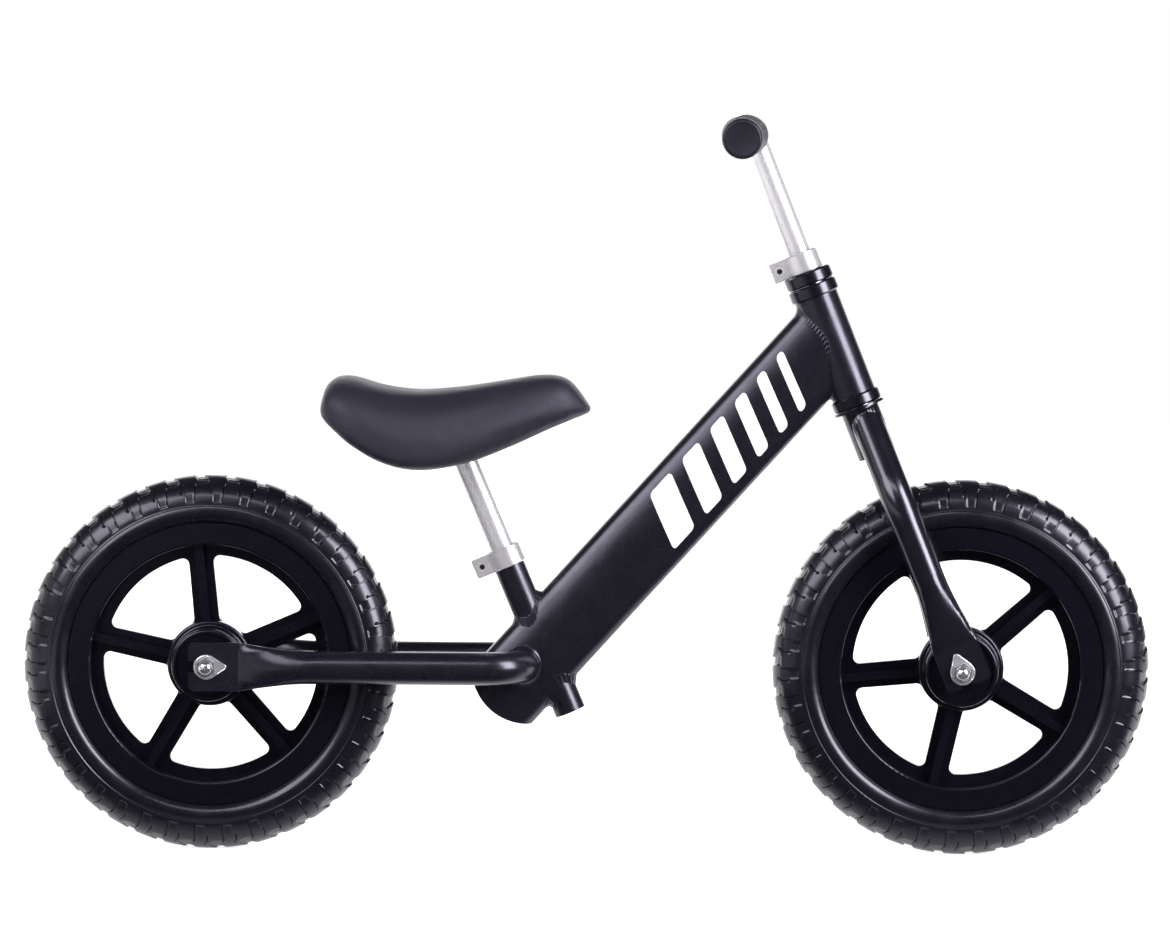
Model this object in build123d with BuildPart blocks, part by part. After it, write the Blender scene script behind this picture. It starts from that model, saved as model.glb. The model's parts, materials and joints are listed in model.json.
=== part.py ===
from build123d import *
import os
from math import atan2, cos, degrees, pi, radians, sin, sqrt, tan

# Balance bike for a small child: an oval main tube with two bent rear stays, a straight fork,
# five-spoke moulded wheels with foam tyres, a padded seat and a T-shaped handlebar.
# Millimetres. +X points forward, +Y to the rider's left, +Z up. The origin is on the ground,
# midway between the axles.

# Wheel layout
wheelbase = 579.0
tyre_radius = 145.0
tyre_half_width = 25.0
tyre_seat_radius = 96.5
tread_blocks = 38
tread_depth = 1.4
tread_gap_share = 0.42
sidewall_height = 13.5
sidewall_inset = 0.8
tyre_lap = 0.5
shoulder_drop = 4.5
shoulder_share = 0.56
shoulder_round_rise = 9.0
shoulder_round_inset = 2.2
crown_drop = 1.0
shoulder_slit_width = 2.0
shoulder_slit_length = 15.0
shoulder_slit_offset = 7.2
shoulder_slit_drop = 5.6
rear_spoke_phase = 23.5
front_spoke_phase = 41.2

# Moulded rim
flange_radius = 109.0
flange_inner_radius = 92.0
flange_half_width = 20.0
flange_wall = 3.5
web_half_thickness = 3.5
window_radius = 83.0
window_corner = 5.0
spoke_count = 5
spoke_hub_width = 19.8
spoke_rim_width = 18.7
rib_width = 6.5
rib_half_depth = 12.0
hub_ring_radius = 33.0
hub_ring_half_width = 15.0
hub_boss_radius = 28.0
hub_half_length = 34.0
hub_lip_width = 3.5
hub_lip_height = 1.5
hub_rounding = 2.2

# Wheel bearings, axles and their hardware
axle_radius = 4.0
bearing_outer_radius = 11.0
bearing_width = 7.0
bearing_race_wall = 2.4
hub_spacer_wall = 2.0
side_spacer_wall = 3.0
dropout_half_gap = 41.0
tab_thickness = 4.0
flattening_steps = 4
flattened_edge_share = 0.85
axle_slot_width = 8.8
washer_thickness = 1.5
washer_radius = 9.4
washer_tip_radius = 2.4
washer_tip_reach = 15.4
washer_lug_radius = 2.0
nut_across_flats = 13.0
nut_hex_height = 6.5
nut_dome_radius = 6.1
nut_thread_depth = 9.0

# Rear stays
stay_radius = 12.7
stay_wall = 1.8
stay_bend_radius = 28.0
stay_bend_x = -48.0
rear_tab_half_height = 18.7
rear_tab_reach = 13.9
rear_tab_corner = 4.5
rear_flat_ends = 24.5
rear_round_starts = 84.0

# Main tube, head tube and seat tube
main_meet_level = 274.0
main_tube_x = -42.0
main_half_height = 31.75
main_half_width = 16.0
main_edge_radius = 12.5
main_wall = 2.0
main_end_radius = 46.0
head_angle = 68.3
head_radius = 17.0
head_wall = 2.0
head_length = 81.0
seat_angle = 67.0
seat_tube_x = -11.2
seat_tube_z = 108.3
seat_tube_length = 136.5
slit_width = 2.0
slit_length = 24.0

# Telescoping tubes: the frame and fork tubes slide over the seat post and the stem
outer_tube_radius = 12.0
inner_tube_radius = 9.5
inner_tube_wall = 1.5

# Clamps
clamp_radius = 14.2
clamp_height = 15.2
clamp_overhang = 1.0
clamp_ear_reach = 25.5
clamp_ear_half_width = 9.5
clamp_slot_width = 2.2
clamp_bolt_distance = 19.0
clamp_bolt_radius = 2.5
bolt_head_radius = 4.2
bolt_head_height = 4.0
bolt_socket_width = 4.0
bolt_socket_depth = 2.4
bolt_nut_across_flats = 8.0
bolt_nut_height = 3.5
clamp_rounding = 1.2

# Fork and headset, heights measured up the steering axis from the front axle
crown_low = 176.6
crown_length = 38.0
crown_radius = 15.0
leg_radius = 12.4
leg_offset = 1.8
leg_wall = 1.6
leg_straight_top = 141.0
leg_slant = 30.9
leg_bend_radius = 60.0
front_tab_half_width = 18.0
front_tab_reach = 11.5
front_tab_corner = 4.0
front_flat_ends = 20.0
front_round_starts = 80.0
cup_radius = 19.25
cup_skirt_length = 8.0
cup_skirt_wall = 1.6
lower_cup_height = 9.0
upper_cup_height = 10.0
cup_chamfer = 1.2
race_radius = 20.0
race_height = 2.0
cap_radius = 18.8
cap_height = 9.8
headset_bearing_width = 6.0
headset_race_wall = 1.9
turning_gap = 0.45

# Handlebar
bar_height = 442.0
bar_half_width = 200.0
bar_bend_y = 40.0
bar_bend_radius = 120.0
bar_sweep_angle = 3.2
bar_wall = 1.6
stem_insertion = 90.0
grip_length = 96.0
grip_radius = 14.2
grip_end_radius = 14.8
grip_end_thickness = 3.5
grip_flange_radius = 15.8
grip_flange_width = 4.0
grip_rounding = 1.4

# Seat, measured from the top of the post plate
post_exposed = 91.0
post_insertion = 78.0
post_plate_length = 78.0
post_plate_width = 46.0
post_plate_thickness = 3.0
seat_base_thickness = 5.0
seat_base_corner = 16.0
seat_base_rear = -72.0
seat_base_front = 46.0
seat_base_rear_half_width = 46.0
seat_base_front_half_width = 27.0
screw_radius = 2.5
screw_head_radius = 4.6
screw_head_height = 2.2
screw_depth = 6.0
screw_inset = 9.0
# Shares of a pad section's width and height at its shoulders, widest level and hem
pad_shoulder_share = 0.66
pad_shoulder_drop = 0.13
pad_widest_share = 0.42
pad_hem_share = 0.9
# Stations of the pad: distance ahead of the post, lower edge, top, half width
seat_stations = (
    (-101.0, 17.0, 28.0, 42.0),
    (-92.0, 6.0, 42.5, 56.0),
    (-70.0, -9.0, 42.0, 63.0),
    (-28.0, -23.0, 35.5, 59.0),
    (20.0, -13.5, 40.5, 43.0),
    (70.0, 8.0, 47.0, 31.0),
    (93.0, 18.0, 38.0, 23.5),
    (101.5, 22.5, 27.0, 14.0),
)

# Clearances
weld_gap = 0.1
fit_gap = 0.03
sliding_gap = 0.08
running_gap = 0.08
seat_gap = 0.3


def leaning(x, z, lean):
    # A frame whose own Z axis leans back from the vertical by the given angle
    turn = radians(lean)
    return Plane(origin=(x, 0, z), x_dir=(cos(turn), 0, sin(turn)), z_dir=(-sin(turn), 0, cos(turn)))


def side_of(frame):
    # The frame's own XZ plane, seen from the rider's right
    return Plane(origin=frame.origin, x_dir=frame.x_dir, z_dir=-frame.y_dir)


def wheel_frame(x, phase):
    # The wheel's axis is the frame's Z axis and points to the rider's right
    turn = radians(phase)
    return Plane(origin=(x, 0, tyre_radius), x_dir=(cos(turn), 0, sin(turn)), z_dir=(0, -1, 0))


front_x = wheelbase / 2
rear_x = -wheelbase / 2
tab_y = dropout_half_gap + tab_thickness / 2
steer = leaning(front_x, tyre_radius, 90 - head_angle)
seat_line = leaning(seat_tube_x, seat_tube_z, 90 - seat_angle)
main_meet = steer.offset(main_meet_level).origin
main_tube_angle = degrees(atan2(main_meet.Z - tyre_radius, main_meet.X - main_tube_x))
main_line = leaning(main_tube_x, tyre_radius, main_tube_angle - 90)
right_fork_end = Plane(origin=(front_x, -tab_y, tyre_radius), x_dir=steer.x_dir, z_dir=steer.z_dir)
right_leg_end = Plane(right_fork_end.from_local_coords((leg_offset, 0, 0)), steer.x_dir, steer.z_dir)
right_stay_end = Plane(origin=(rear_x, -tab_y, tyre_radius), x_dir=(0, 0, -1), z_dir=(1, 0, 0))
rear_wheel = wheel_frame(rear_x, rear_spoke_phase)
front_wheel = wheel_frame(front_x, front_spoke_phase)

race_low = crown_low + crown_length
race_high = race_low + race_height
lower_cup_low = race_high + turning_gap
head_low = lower_cup_low + lower_cup_height
head_high = head_low + head_length
upper_cup_high = head_high + upper_cup_height
cap_low = upper_cup_high + turning_gap
cap_high = cap_low + cap_height
bar_clamp_low = cap_high + seat_gap
steerer_high = bar_clamp_low + clamp_height - clamp_overhang
seat_clamp_low = seat_tube_length + clamp_overhang - clamp_height
outer_tube_bore = inner_tube_radius + sliding_gap
clamp_bore = outer_tube_radius + fit_gap
headset_bearing_radius = head_radius - head_wall - fit_gap


def ring(frame, low, high, outer, bore):
    # A plain turned ring between two heights of a frame
    with BuildPart() as turned:
        with BuildSketch(frame.offset(low)):
            Circle(outer)
            Circle(bore, mode=Mode.SUBTRACT)
        extrude(amount=high - low)
    return turned


def slit_tube(frame, low, high):
    # The outer tube of a telescoping pair, slit at the back of its top, under the clamp
    with BuildPart() as tube:
        with BuildSketch(frame.offset(low)):
            Circle(outer_tube_radius)
            Circle(outer_tube_bore, mode=Mode.SUBTRACT)
        extrude(amount=high - low)
        with BuildSketch(frame.offset(high - slit_length)):
            with Locations((-outer_tube_radius, 0)):
                Rectangle(2 * outer_tube_radius, slit_width)
        extrude(amount=slit_length, mode=Mode.SUBTRACT)
    return tube


def oval(half_long, half_short, end_radius):
    # Four tangent arcs: two tight ends and two flat sides, or a plain circle in four arcs
    if half_long - half_short < fit_gap:
        touch = (half_long * sqrt(0.5), half_long * sqrt(0.5))
    else:
        centre = half_long - end_radius
        side_radius = (half_short**2 + centre**2 - end_radius**2) / (2 * (half_short - end_radius))
        reach = end_radius / (side_radius - end_radius)
        touch = (centre + centre * reach, (side_radius - half_short) * reach)
    x, y = touch
    with BuildSketch(Plane.XY) as outline:
        with BuildLine():
            ThreePointArc((x, y), (0, half_short), (-x, y))
            ThreePointArc((-x, y), (-half_long, 0), (-x, -y))
            ThreePointArc((-x, -y), (0, -half_short), (x, -y))
            ThreePointArc((x, -y), (half_long, 0), (x, y))
        make_face()
    return outline.sketch


def main_oval(grow):
    # The main tube's section, grown or shrunk evenly
    return oval(main_half_height + grow, main_half_width + grow, main_edge_radius + grow)


def flattened_end(frame, radius, half_width, round_starts, flat_ends, reach, corner, axle_x):
    # The tube is pressed flat towards the axle and ends in a slotted tab with rounded corners
    sections = []
    for step in range(flattening_steps + 1):
        share = step / flattening_steps
        ease = 1 - cos(pi * share / 2)
        half_long = radius + (half_width - radius) * ease
        half_short = radius + (tab_thickness / 2 - radius) * ease
        height = round_starts + (flat_ends - round_starts) * share
        sections.append((height, oval(half_long, half_short, half_short * flattened_edge_share)))
    with BuildPart() as end:
        for height, section in sections:
            with BuildSketch(frame.offset(height)):
                add(section)
        loft()
        with BuildSketch(side_of(frame)) as tab:
            with Locations((0, (flat_ends - reach) / 2)):
                Rectangle(2 * half_width, flat_ends + reach)
            fillet(tab.vertices().group_by(Axis.Y)[0], corner)
        extrude(amount=tab_thickness / 2, both=True)
        with BuildSketch(side_of(frame)):
            with Locations((axle_x, 0)):
                Circle(axle_slot_width / 2)
            with Locations((axle_x, -reach)):
                Rectangle(axle_slot_width, 2 * reach)
            with Locations((axle_x, washer_tip_reach - washer_tip_radius)):
                Circle(washer_lug_radius + seat_gap)
        extrude(amount=tab_thickness, both=True, mode=Mode.SUBTRACT)
    return end.part


def bent_tube(path, radius, wall):
    # A round tube along a bent path
    with BuildPart() as tube:
        with BuildSketch(Plane(origin=path @ 0, z_dir=path % 0)):
            Circle(radius)
            Circle(radius - wall, mode=Mode.SUBTRACT)
        sweep(path=path)
    return tube.part


def both_sides(part):
    # A right-hand piece and its mirror image
    with BuildPart() as pair:
        add(part)
        mirror(about=Plane.XZ)
    return pair


# Main tube: an oval section, rounded at its lower end and mitred round the head tube
axis_angle = radians(90 - head_angle + 90 - main_tube_angle)
main_reach = (front_x - main_tube_x) * cos(radians(90 - head_angle)) / sin(axis_angle)
cut_length = 4 * main_half_height

with BuildPart() as main_tube:
    with BuildSketch(main_line.offset(-main_end_radius)):
        add(main_oval(0))
        add(main_oval(-main_wall), mode=Mode.SUBTRACT)
    extrude(amount=main_end_radius + main_reach)
    with BuildSketch(side_of(main_line)):
        with Locations((0, -main_end_radius)):
            Rectangle(4 * main_half_height, 2 * main_end_radius)
        Circle(main_end_radius, mode=Mode.SUBTRACT)
    extrude(amount=2 * main_half_width, both=True, mode=Mode.SUBTRACT)
    with BuildSketch(steer.offset(head_low - cut_length / 2)):
        Circle(head_radius + weld_gap)
        with Locations((cut_length / 2, 0)):
            Rectangle(cut_length, cut_length)
    extrude(amount=head_length + cut_length, mode=Mode.SUBTRACT)
    with BuildSketch(seat_line):
        Circle(outer_tube_radius + weld_gap)
    extrude(amount=seat_tube_length, mode=Mode.SUBTRACT)

with BuildPart() as main_tube_end_cap:
    with BuildSketch(side_of(main_line)):
        Circle(main_end_radius)
        Circle(main_end_radius - main_wall, mode=Mode.SUBTRACT)
        with Locations((0, main_end_radius)):
            Rectangle(4 * main_end_radius, 2 * main_end_radius, mode=Mode.SUBTRACT)
    extrude(amount=main_half_width, both=True)
    with BuildSketch(main_line.offset(-2 * main_end_radius)):
        add(main_oval(-main_wall - weld_gap))
    extrude(amount=2 * main_end_radius, mode=Mode.INTERSECT)

# Head tube and seat tube
head_tube = ring(steer, head_low, head_high, head_radius, head_radius - head_wall)
seat_tube = slit_tube(seat_line, 0, seat_tube_length)

# Rear stays: bent out of the main tube's side, straight back, pressed flat at the axle
with BuildLine(Plane.XY.offset(tyre_radius)) as stay_path:
    FilletPolyline(
        (stay_bend_x, 0),
        (stay_bend_x, -tab_y),
        (rear_x + rear_round_starts, -tab_y),
        radius=stay_bend_radius,
    )
stay_end = flattened_end(
    right_stay_end,
    stay_radius,
    rear_tab_half_height,
    rear_round_starts,
    rear_flat_ends,
    rear_tab_reach,
    rear_tab_corner,
    0,
)
stay_tube = bent_tube(stay_path.line, stay_radius, stay_wall)

with BuildPart() as right_stay:
    add(stay_tube)
    with BuildSketch(main_line.offset(-2 * main_end_radius)):
        add(main_oval(weld_gap))
    extrude(amount=4 * main_end_radius, mode=Mode.SUBTRACT)
    add(stay_end)

with BuildPart() as left_stay:
    mirror(right_stay.part, about=Plane.XZ)

# Fork: steerer, crown sleeve and two legs that slant out and run straight down to the axle
fork_steerer = slit_tube(steer, crown_low, steerer_high)
crown_sleeve = ring(steer, crown_low, race_low, crown_radius, outer_tube_radius + fit_gap)

leg_plane = Plane(steer.from_local_coords((leg_offset, 0, 0)), steer.y_dir, steer.x_dir)
leg_top = leg_straight_top + tab_y / tan(radians(leg_slant))
with BuildLine(leg_plane) as leg_path:
    FilletPolyline(
        (0, leg_top),
        (-tab_y, leg_straight_top),
        (-tab_y, front_round_starts),
        radius=leg_bend_radius,
    )
leg_end = flattened_end(
    right_leg_end,
    leg_radius,
    front_tab_half_width,
    front_round_starts,
    front_flat_ends,
    front_tab_reach,
    front_tab_corner,
    -leg_offset,
)
leg_tube = bent_tube(leg_path.line, leg_radius, leg_wall)

with BuildPart() as right_fork_leg:
    add(leg_tube)
    with BuildSketch(steer.offset(leg_straight_top)):
        Circle(crown_radius + weld_gap)
    extrude(amount=leg_top, mode=Mode.SUBTRACT)
    add(leg_end)

with BuildPart() as left_fork_leg:
    mirror(right_fork_leg.part, about=Plane.XZ)


# Headset: cups pressed into the head tube, bearings in the cups, race and cap on the steerer
def headset_cup(frame, height):
    # The frame's Z axis points out of the head tube and its origin is at the tube's end
    with BuildPart() as cup:
        with BuildSketch(frame):
            Circle(cup_radius)
        extrude(amount=height)
        outer_edges = cup.edges().filter_by(GeomType.CIRCLE)
        chamfer(outer_edges, cup_chamfer)
        with BuildSketch(frame.offset(-cup_skirt_length)):
            Circle(headset_bearing_radius)
        extrude(amount=cup_skirt_length)
        with BuildSketch(frame.offset(height - headset_bearing_width)):
            Circle(headset_bearing_radius + fit_gap)
        extrude(amount=headset_bearing_width, mode=Mode.SUBTRACT)
        with BuildSketch(frame.offset(-cup_skirt_length)):
            Circle(headset_bearing_radius - cup_skirt_wall)
        extrude(amount=cup_skirt_length + height, mode=Mode.SUBTRACT)
    return cup


lower_end = Plane(origin=steer.offset(head_low).origin, x_dir=steer.x_dir, z_dir=-steer.z_dir)

lower_headset_cup = headset_cup(lower_end, lower_cup_height)
upper_headset_cup = headset_cup(steer.offset(head_high), upper_cup_height)

outer_race_bore = headset_bearing_radius - headset_race_wall
inner_race_radius = outer_race_bore - running_gap


def headset_rings(outer, bore, proud):
    # One bearing ring in each cup, standing proud of the cup's open face where it is driven
    with BuildPart() as rings:
        for level in (lower_cup_low - proud, upper_cup_high - headset_bearing_width):
            with BuildSketch(steer.offset(level)):
                Circle(outer)
                Circle(bore, mode=Mode.SUBTRACT)
            extrude(amount=headset_bearing_width + proud)
    return rings


headset_bearing_outer_rings = headset_rings(headset_bearing_radius, outer_race_bore, 0)
headset_bearing_inner_rings = headset_rings(inner_race_radius, outer_tube_radius + fit_gap, turning_gap)
crown_race = ring(steer, race_low, race_high, race_radius, outer_tube_radius + fit_gap)

with BuildPart() as upper_headset_cap:
    with BuildSketch(steer.offset(cap_low)):
        Circle(cap_radius)
    extrude(amount=cap_height)
    chamfer(upper_headset_cap.edges().filter_by(GeomType.CIRCLE), cup_chamfer)
    with BuildSketch(steer.offset(cap_low)):
        Circle(outer_tube_radius + fit_gap)
    extrude(amount=cap_height, mode=Mode.SUBTRACT)


# Clamps: a slotted collar with two ears at the back, closed by a cross bolt
def bolt_plane(frame):
    # Across the ears, halfway up the clamp, its Z axis pointing to the rider's right
    centre = frame.from_local_coords((-clamp_bolt_distance, 0, clamp_height / 2))
    return Plane(origin=centre, x_dir=frame.x_dir, z_dir=-frame.y_dir)


def clamp_collar(frame):
    with BuildPart() as collar:
        with BuildSketch(frame) as plan:
            Circle(clamp_radius)
            with Locations((-clamp_ear_reach / 2, 0)):
                Rectangle(clamp_ear_reach, 2 * clamp_ear_half_width)
            fillet(plan.vertices(), clamp_rounding)
        extrude(amount=clamp_height)
        rims = collar.faces().filter_by(Axis(frame.origin, frame.z_dir)).edges()
        chamfer(rims, clamp_rounding / 2)
        with BuildSketch(frame):
            Circle(clamp_bore)
            with Locations((-clamp_ear_reach / 2, 0)):
                Rectangle(clamp_ear_reach, clamp_slot_width)
        extrude(amount=clamp_height, mode=Mode.SUBTRACT)
        with BuildSketch(bolt_plane(frame)):
            Circle(clamp_bolt_radius + running_gap)
        extrude(amount=2 * clamp_ear_half_width, both=True, mode=Mode.SUBTRACT)
        with BuildSketch(bolt_plane(frame).offset(clamp_ear_half_width - bolt_head_height)):
            Circle(bolt_head_radius + running_gap)
        extrude(amount=bolt_head_height, mode=Mode.SUBTRACT)
    return collar


def clamp_bolt(frame):
    across = bolt_plane(frame)
    with BuildPart() as bolt:
        with BuildSketch(across.offset(clamp_ear_half_width - bolt_head_height)):
            Circle(bolt_head_radius)
        extrude(amount=bolt_head_height)
        with BuildSketch(across.offset(clamp_ear_half_width - bolt_socket_depth)):
            RegularPolygon(bolt_socket_width / 2, 6, major_radius=False)
        extrude(amount=bolt_socket_depth, mode=Mode.SUBTRACT)
        with BuildSketch(across.offset(-clamp_ear_half_width - bolt_nut_height)):
            Circle(clamp_bolt_radius)
        extrude(amount=2 * clamp_ear_half_width + bolt_nut_height - bolt_head_height)
        with BuildSketch(across.offset(-clamp_ear_half_width - bolt_nut_height)):
            RegularPolygon(bolt_nut_across_flats / 2, 6, major_radius=False)
        extrude(amount=bolt_nut_height)
    return bolt


seat_clamp = clamp_collar(seat_line.offset(seat_clamp_low))
seat_clamp_bolt = clamp_bolt(seat_line.offset(seat_clamp_low))
handlebar_clamp = clamp_collar(steer.offset(bar_clamp_low))
handlebar_clamp_bolt = clamp_bolt(steer.offset(bar_clamp_low))

# Handlebar: a stem up from the steerer and a crossbar swept back at both ends
bar_plane = steer.offset(bar_height)
sweep_turn = radians(bar_sweep_angle)
bar_sweep = (bar_half_width - bar_bend_y) * sin(sweep_turn) / cos(sweep_turn)

with BuildLine(bar_plane) as bar_path:
    FilletPolyline(
        (-bar_sweep, -bar_half_width),
        (0, -bar_bend_y),
        (0, bar_bend_y),
        (-bar_sweep, bar_half_width),
        radius=bar_bend_radius,
    )

with BuildPart() as handlebar_crossbar:
    with BuildSketch(Plane(origin=bar_path.line @ 0, z_dir=bar_path.line % 0)):
        Circle(inner_tube_radius)
        Circle(inner_tube_radius - bar_wall, mode=Mode.SUBTRACT)
    sweep(path=bar_path.line)

stem_low = steerer_high - stem_insertion

with BuildPart() as handlebar_stem:
    with BuildSketch(steer.offset(stem_low)):
        Circle(inner_tube_radius)
        Circle(inner_tube_radius - inner_tube_wall, mode=Mode.SUBTRACT)
    extrude(amount=bar_height - stem_low)
    with BuildSketch(side_of(bar_plane)):
        Circle(inner_tube_radius + weld_gap)
        with Locations((0, inner_tube_radius)):
            Rectangle(4 * inner_tube_radius, 2 * inner_tube_radius)
    extrude(amount=2 * inner_tube_radius, both=True, mode=Mode.SUBTRACT)

# Grips: a sleeve closed at the outer end, with a small flange at the inner end
grip_end = bar_plane.from_local_coords((-bar_sweep, -bar_half_width, 0))
grip_axis = (bar_path.line % 0).normalized()
grip_line = Plane(origin=grip_end, x_dir=steer.z_dir, z_dir=grip_axis)

with BuildPart() as right_grip:
    with BuildSketch(side_of(grip_line)) as grip_profile:
        with BuildLine():
            Polyline(
                (0, -grip_end_thickness),
                (grip_end_radius, -grip_end_thickness),
                (grip_end_radius, grip_flange_width),
                (grip_radius, 3 * grip_flange_width),
                (grip_radius, grip_length - 2 * grip_flange_width),
                (grip_flange_radius, grip_length - grip_flange_width),
                (grip_flange_radius, grip_length),
                (inner_tube_radius + fit_gap, grip_length),
                (inner_tube_radius + fit_gap, 0),
                (0, 0),
                close=True,
            )
        make_face()
        proud_corners = grip_profile.vertices().filter_by(lambda corner: corner.X > grip_radius + fit_gap)
        fillet(proud_corners, grip_rounding)
    revolve(axis=Axis(grip_end, grip_axis))

with BuildPart() as left_grip:
    mirror(right_grip.part, about=Plane.XZ)

# Moulded wheel, drawn about its own Z axis
with BuildPart() as moulded_rim:
    with BuildSketch(mode=Mode.PRIVATE) as windows:
        Circle(window_radius)
        Circle(hub_ring_radius, mode=Mode.SUBTRACT)
        with PolarLocations(0, spoke_count):
            Polygon(
                (0, -spoke_hub_width / 2),
                (flange_inner_radius, -spoke_rim_width / 2),
                (flange_inner_radius, spoke_rim_width / 2),
                (0, spoke_hub_width / 2),
                align=None,
                mode=Mode.SUBTRACT,
            )
        fillet(windows.vertices(), window_corner)
    with BuildSketch():
        Circle(tyre_seat_radius)
        add(windows.sketch, mode=Mode.SUBTRACT)
    extrude(amount=web_half_thickness, both=True)
    with PolarLocations(hub_boss_radius - hub_lip_width, spoke_count):
        Box(
            flange_inner_radius + flange_wall / 2 - hub_boss_radius + hub_lip_width,
            rib_width,
            2 * rib_half_depth,
            align=(Align.MIN, Align.CENTER, Align.CENTER),
        )
    with BuildSketch(Plane.XZ) as flange_profile:
        with BuildLine():
            Polyline(
                (flange_inner_radius, -flange_half_width),
                (flange_radius, -flange_half_width),
                (flange_radius, flange_wall - flange_half_width),
                (tyre_seat_radius, flange_wall - flange_half_width),
                (tyre_seat_radius, flange_half_width - flange_wall),
                (flange_radius, flange_half_width - flange_wall),
                (flange_radius, flange_half_width),
                (flange_inner_radius, flange_half_width),
                close=True,
            )
        make_face()
        fillet(flange_profile.vertices().group_by(Axis.X)[0], flange_wall / 2)
    revolve(axis=Axis.Z)
    with BuildSketch(Plane.XZ) as hub_profile:
        with Locations((hub_ring_radius / 2, 0)):
            Rectangle(hub_ring_radius, 2 * hub_ring_half_width)
        with Locations((hub_boss_radius / 2, 0)):
            Rectangle(hub_boss_radius, 2 * hub_half_length)
        corners = hub_profile.vertices().filter_by_position(Axis.X, hub_lip_width, hub_ring_radius)
        fillet(corners, hub_rounding)
    revolve(axis=Axis.Z)
    with BuildSketch(Plane.XY.offset(-hub_half_length)):
        Circle(bearing_outer_radius - bearing_race_wall)
    extrude(amount=2 * hub_half_length, mode=Mode.SUBTRACT)
    for face in (1, -1):
        outward = Plane(origin=(0, 0, face * hub_half_length), z_dir=(0, 0, face))
        with BuildSketch(outward.offset(-bearing_width)):
            Circle(bearing_outer_radius + fit_gap)
        extrude(amount=bearing_width, mode=Mode.SUBTRACT)
        with BuildSketch(outward.offset(-hub_lip_height)):
            Circle(hub_boss_radius - hub_lip_width)
            Circle(bearing_outer_radius + hub_lip_width, mode=Mode.SUBTRACT)
        extrude(amount=hub_lip_height, mode=Mode.SUBTRACT)

# Foam tyre: it fills the rim's channel, laps over the flanges and carries blocks on its crown
tread_pitch = 2 * pi * tyre_radius / tread_blocks
tread_gap = tread_pitch * tread_gap_share
crease_radius = flange_radius + sidewall_height
shoulder_radius = tyre_radius - shoulder_drop
shoulder_half_width = shoulder_share * tyre_half_width
channel_half_width = flange_half_width - flange_wall - fit_gap
lap_half_width = flange_half_width + tyre_lap
sidewall_half_width = tyre_half_width - sidewall_inset

with BuildPart() as foam_tyre:
    with BuildSketch(Plane.XZ) as half_section:
        with BuildLine():
            Polyline(
                (tyre_radius, 0),
                (tyre_seat_radius + fit_gap, 0),
                (tyre_seat_radius + fit_gap, channel_half_width),
                (flange_radius + seat_gap, channel_half_width),
                (flange_radius + seat_gap, lap_half_width),
            )
            ThreePointArc(
                (flange_radius + seat_gap, lap_half_width),
                ((flange_radius + crease_radius) / 2, sidewall_half_width),
                (crease_radius, sidewall_half_width),
            )
            ThreePointArc(
                (crease_radius, sidewall_half_width),
                (crease_radius + shoulder_round_rise, tyre_half_width - shoulder_round_inset),
                (shoulder_radius, shoulder_half_width),
            )
            ThreePointArc(
                (shoulder_radius, shoulder_half_width),
                (tyre_radius - crown_drop, shoulder_half_width / 2),
                (tyre_radius, 0),
            )
        make_face()
        mirror(about=Plane.XZ)
    revolve(axis=Axis.Z)
    with PolarLocations(tyre_radius - tread_depth, tread_blocks):
        Box(
            2 * tread_depth,
            tread_gap,
            2 * shoulder_half_width,
            align=(Align.MIN, Align.CENTER, Align.CENTER),
            mode=Mode.SUBTRACT,
        )
    shoulder_lean = degrees(atan2(tyre_half_width - shoulder_half_width, shoulder_radius - crease_radius))
    for face in (1, -1):
        centre = (shoulder_radius - shoulder_slit_drop, 0, face * (shoulder_half_width + shoulder_slit_offset))
        spot = Location(centre, (0, face * (shoulder_lean - 90), 0))
        with PolarLocations(0, tread_blocks, start_angle=180 / tread_blocks):
            with Locations(spot):
                Box(2 * tread_depth, shoulder_slit_width, shoulder_slit_length, mode=Mode.SUBTRACT)

with BuildPart() as rear_rim:
    add(moulded_rim.part.moved(rear_wheel.location))

with BuildPart() as rear_tyre:
    add(foam_tyre.part.moved(wheel_frame(rear_x, 0).location))

with BuildPart() as front_rim:
    add(moulded_rim.part.moved(front_wheel.location))

with BuildPart() as front_tyre:
    add(foam_tyre.part.moved(wheel_frame(front_x, 0).location))


# Wheel bearings and axle hardware, the same set at both wheels
def ring_pair(frame, near, far, outer, bore):
    # The same ring at both ends of the hub
    with BuildPart() as rings:
        for level in (near, -far):
            with BuildSketch(frame.offset(level)):
                Circle(outer)
                Circle(bore, mode=Mode.SUBTRACT)
            extrude(amount=far - near)
    return rings


axle_half_length = dropout_half_gap + tab_thickness + washer_thickness + nut_thread_depth


def axle(frame):
    with BuildPart() as rod:
        with BuildSketch(frame.offset(-axle_half_length)):
            Circle(axle_radius)
        extrude(amount=2 * axle_half_length)
        chamfer(rod.edges(), axle_radius / 8)
    return rod


def outside_of(frame):
    # The tab's outer face, with Z pointing to the rider's right and Y along the tube
    return side_of(frame).offset(tab_thickness / 2)


def tab_washers(frame):
    # Teardrop washers whose bent lugs sit in a hole of the tab and keep the wheel in its slot
    tip = (0, washer_tip_reach - washer_tip_radius)
    with BuildPart() as washer:
        with BuildSketch(outside_of(frame)) as drop:
            Circle(washer_radius)
            with Locations(tip):
                Circle(washer_tip_radius)
            make_hull(drop.edges())
            Circle(axle_radius + seat_gap, mode=Mode.SUBTRACT)
        extrude(amount=washer_thickness)
        with BuildSketch(outside_of(frame).offset(-tab_thickness / 2)):
            with Locations(tip):
                Circle(washer_lug_radius)
        extrude(amount=tab_thickness / 2)
    return both_sides(washer.part)


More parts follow.
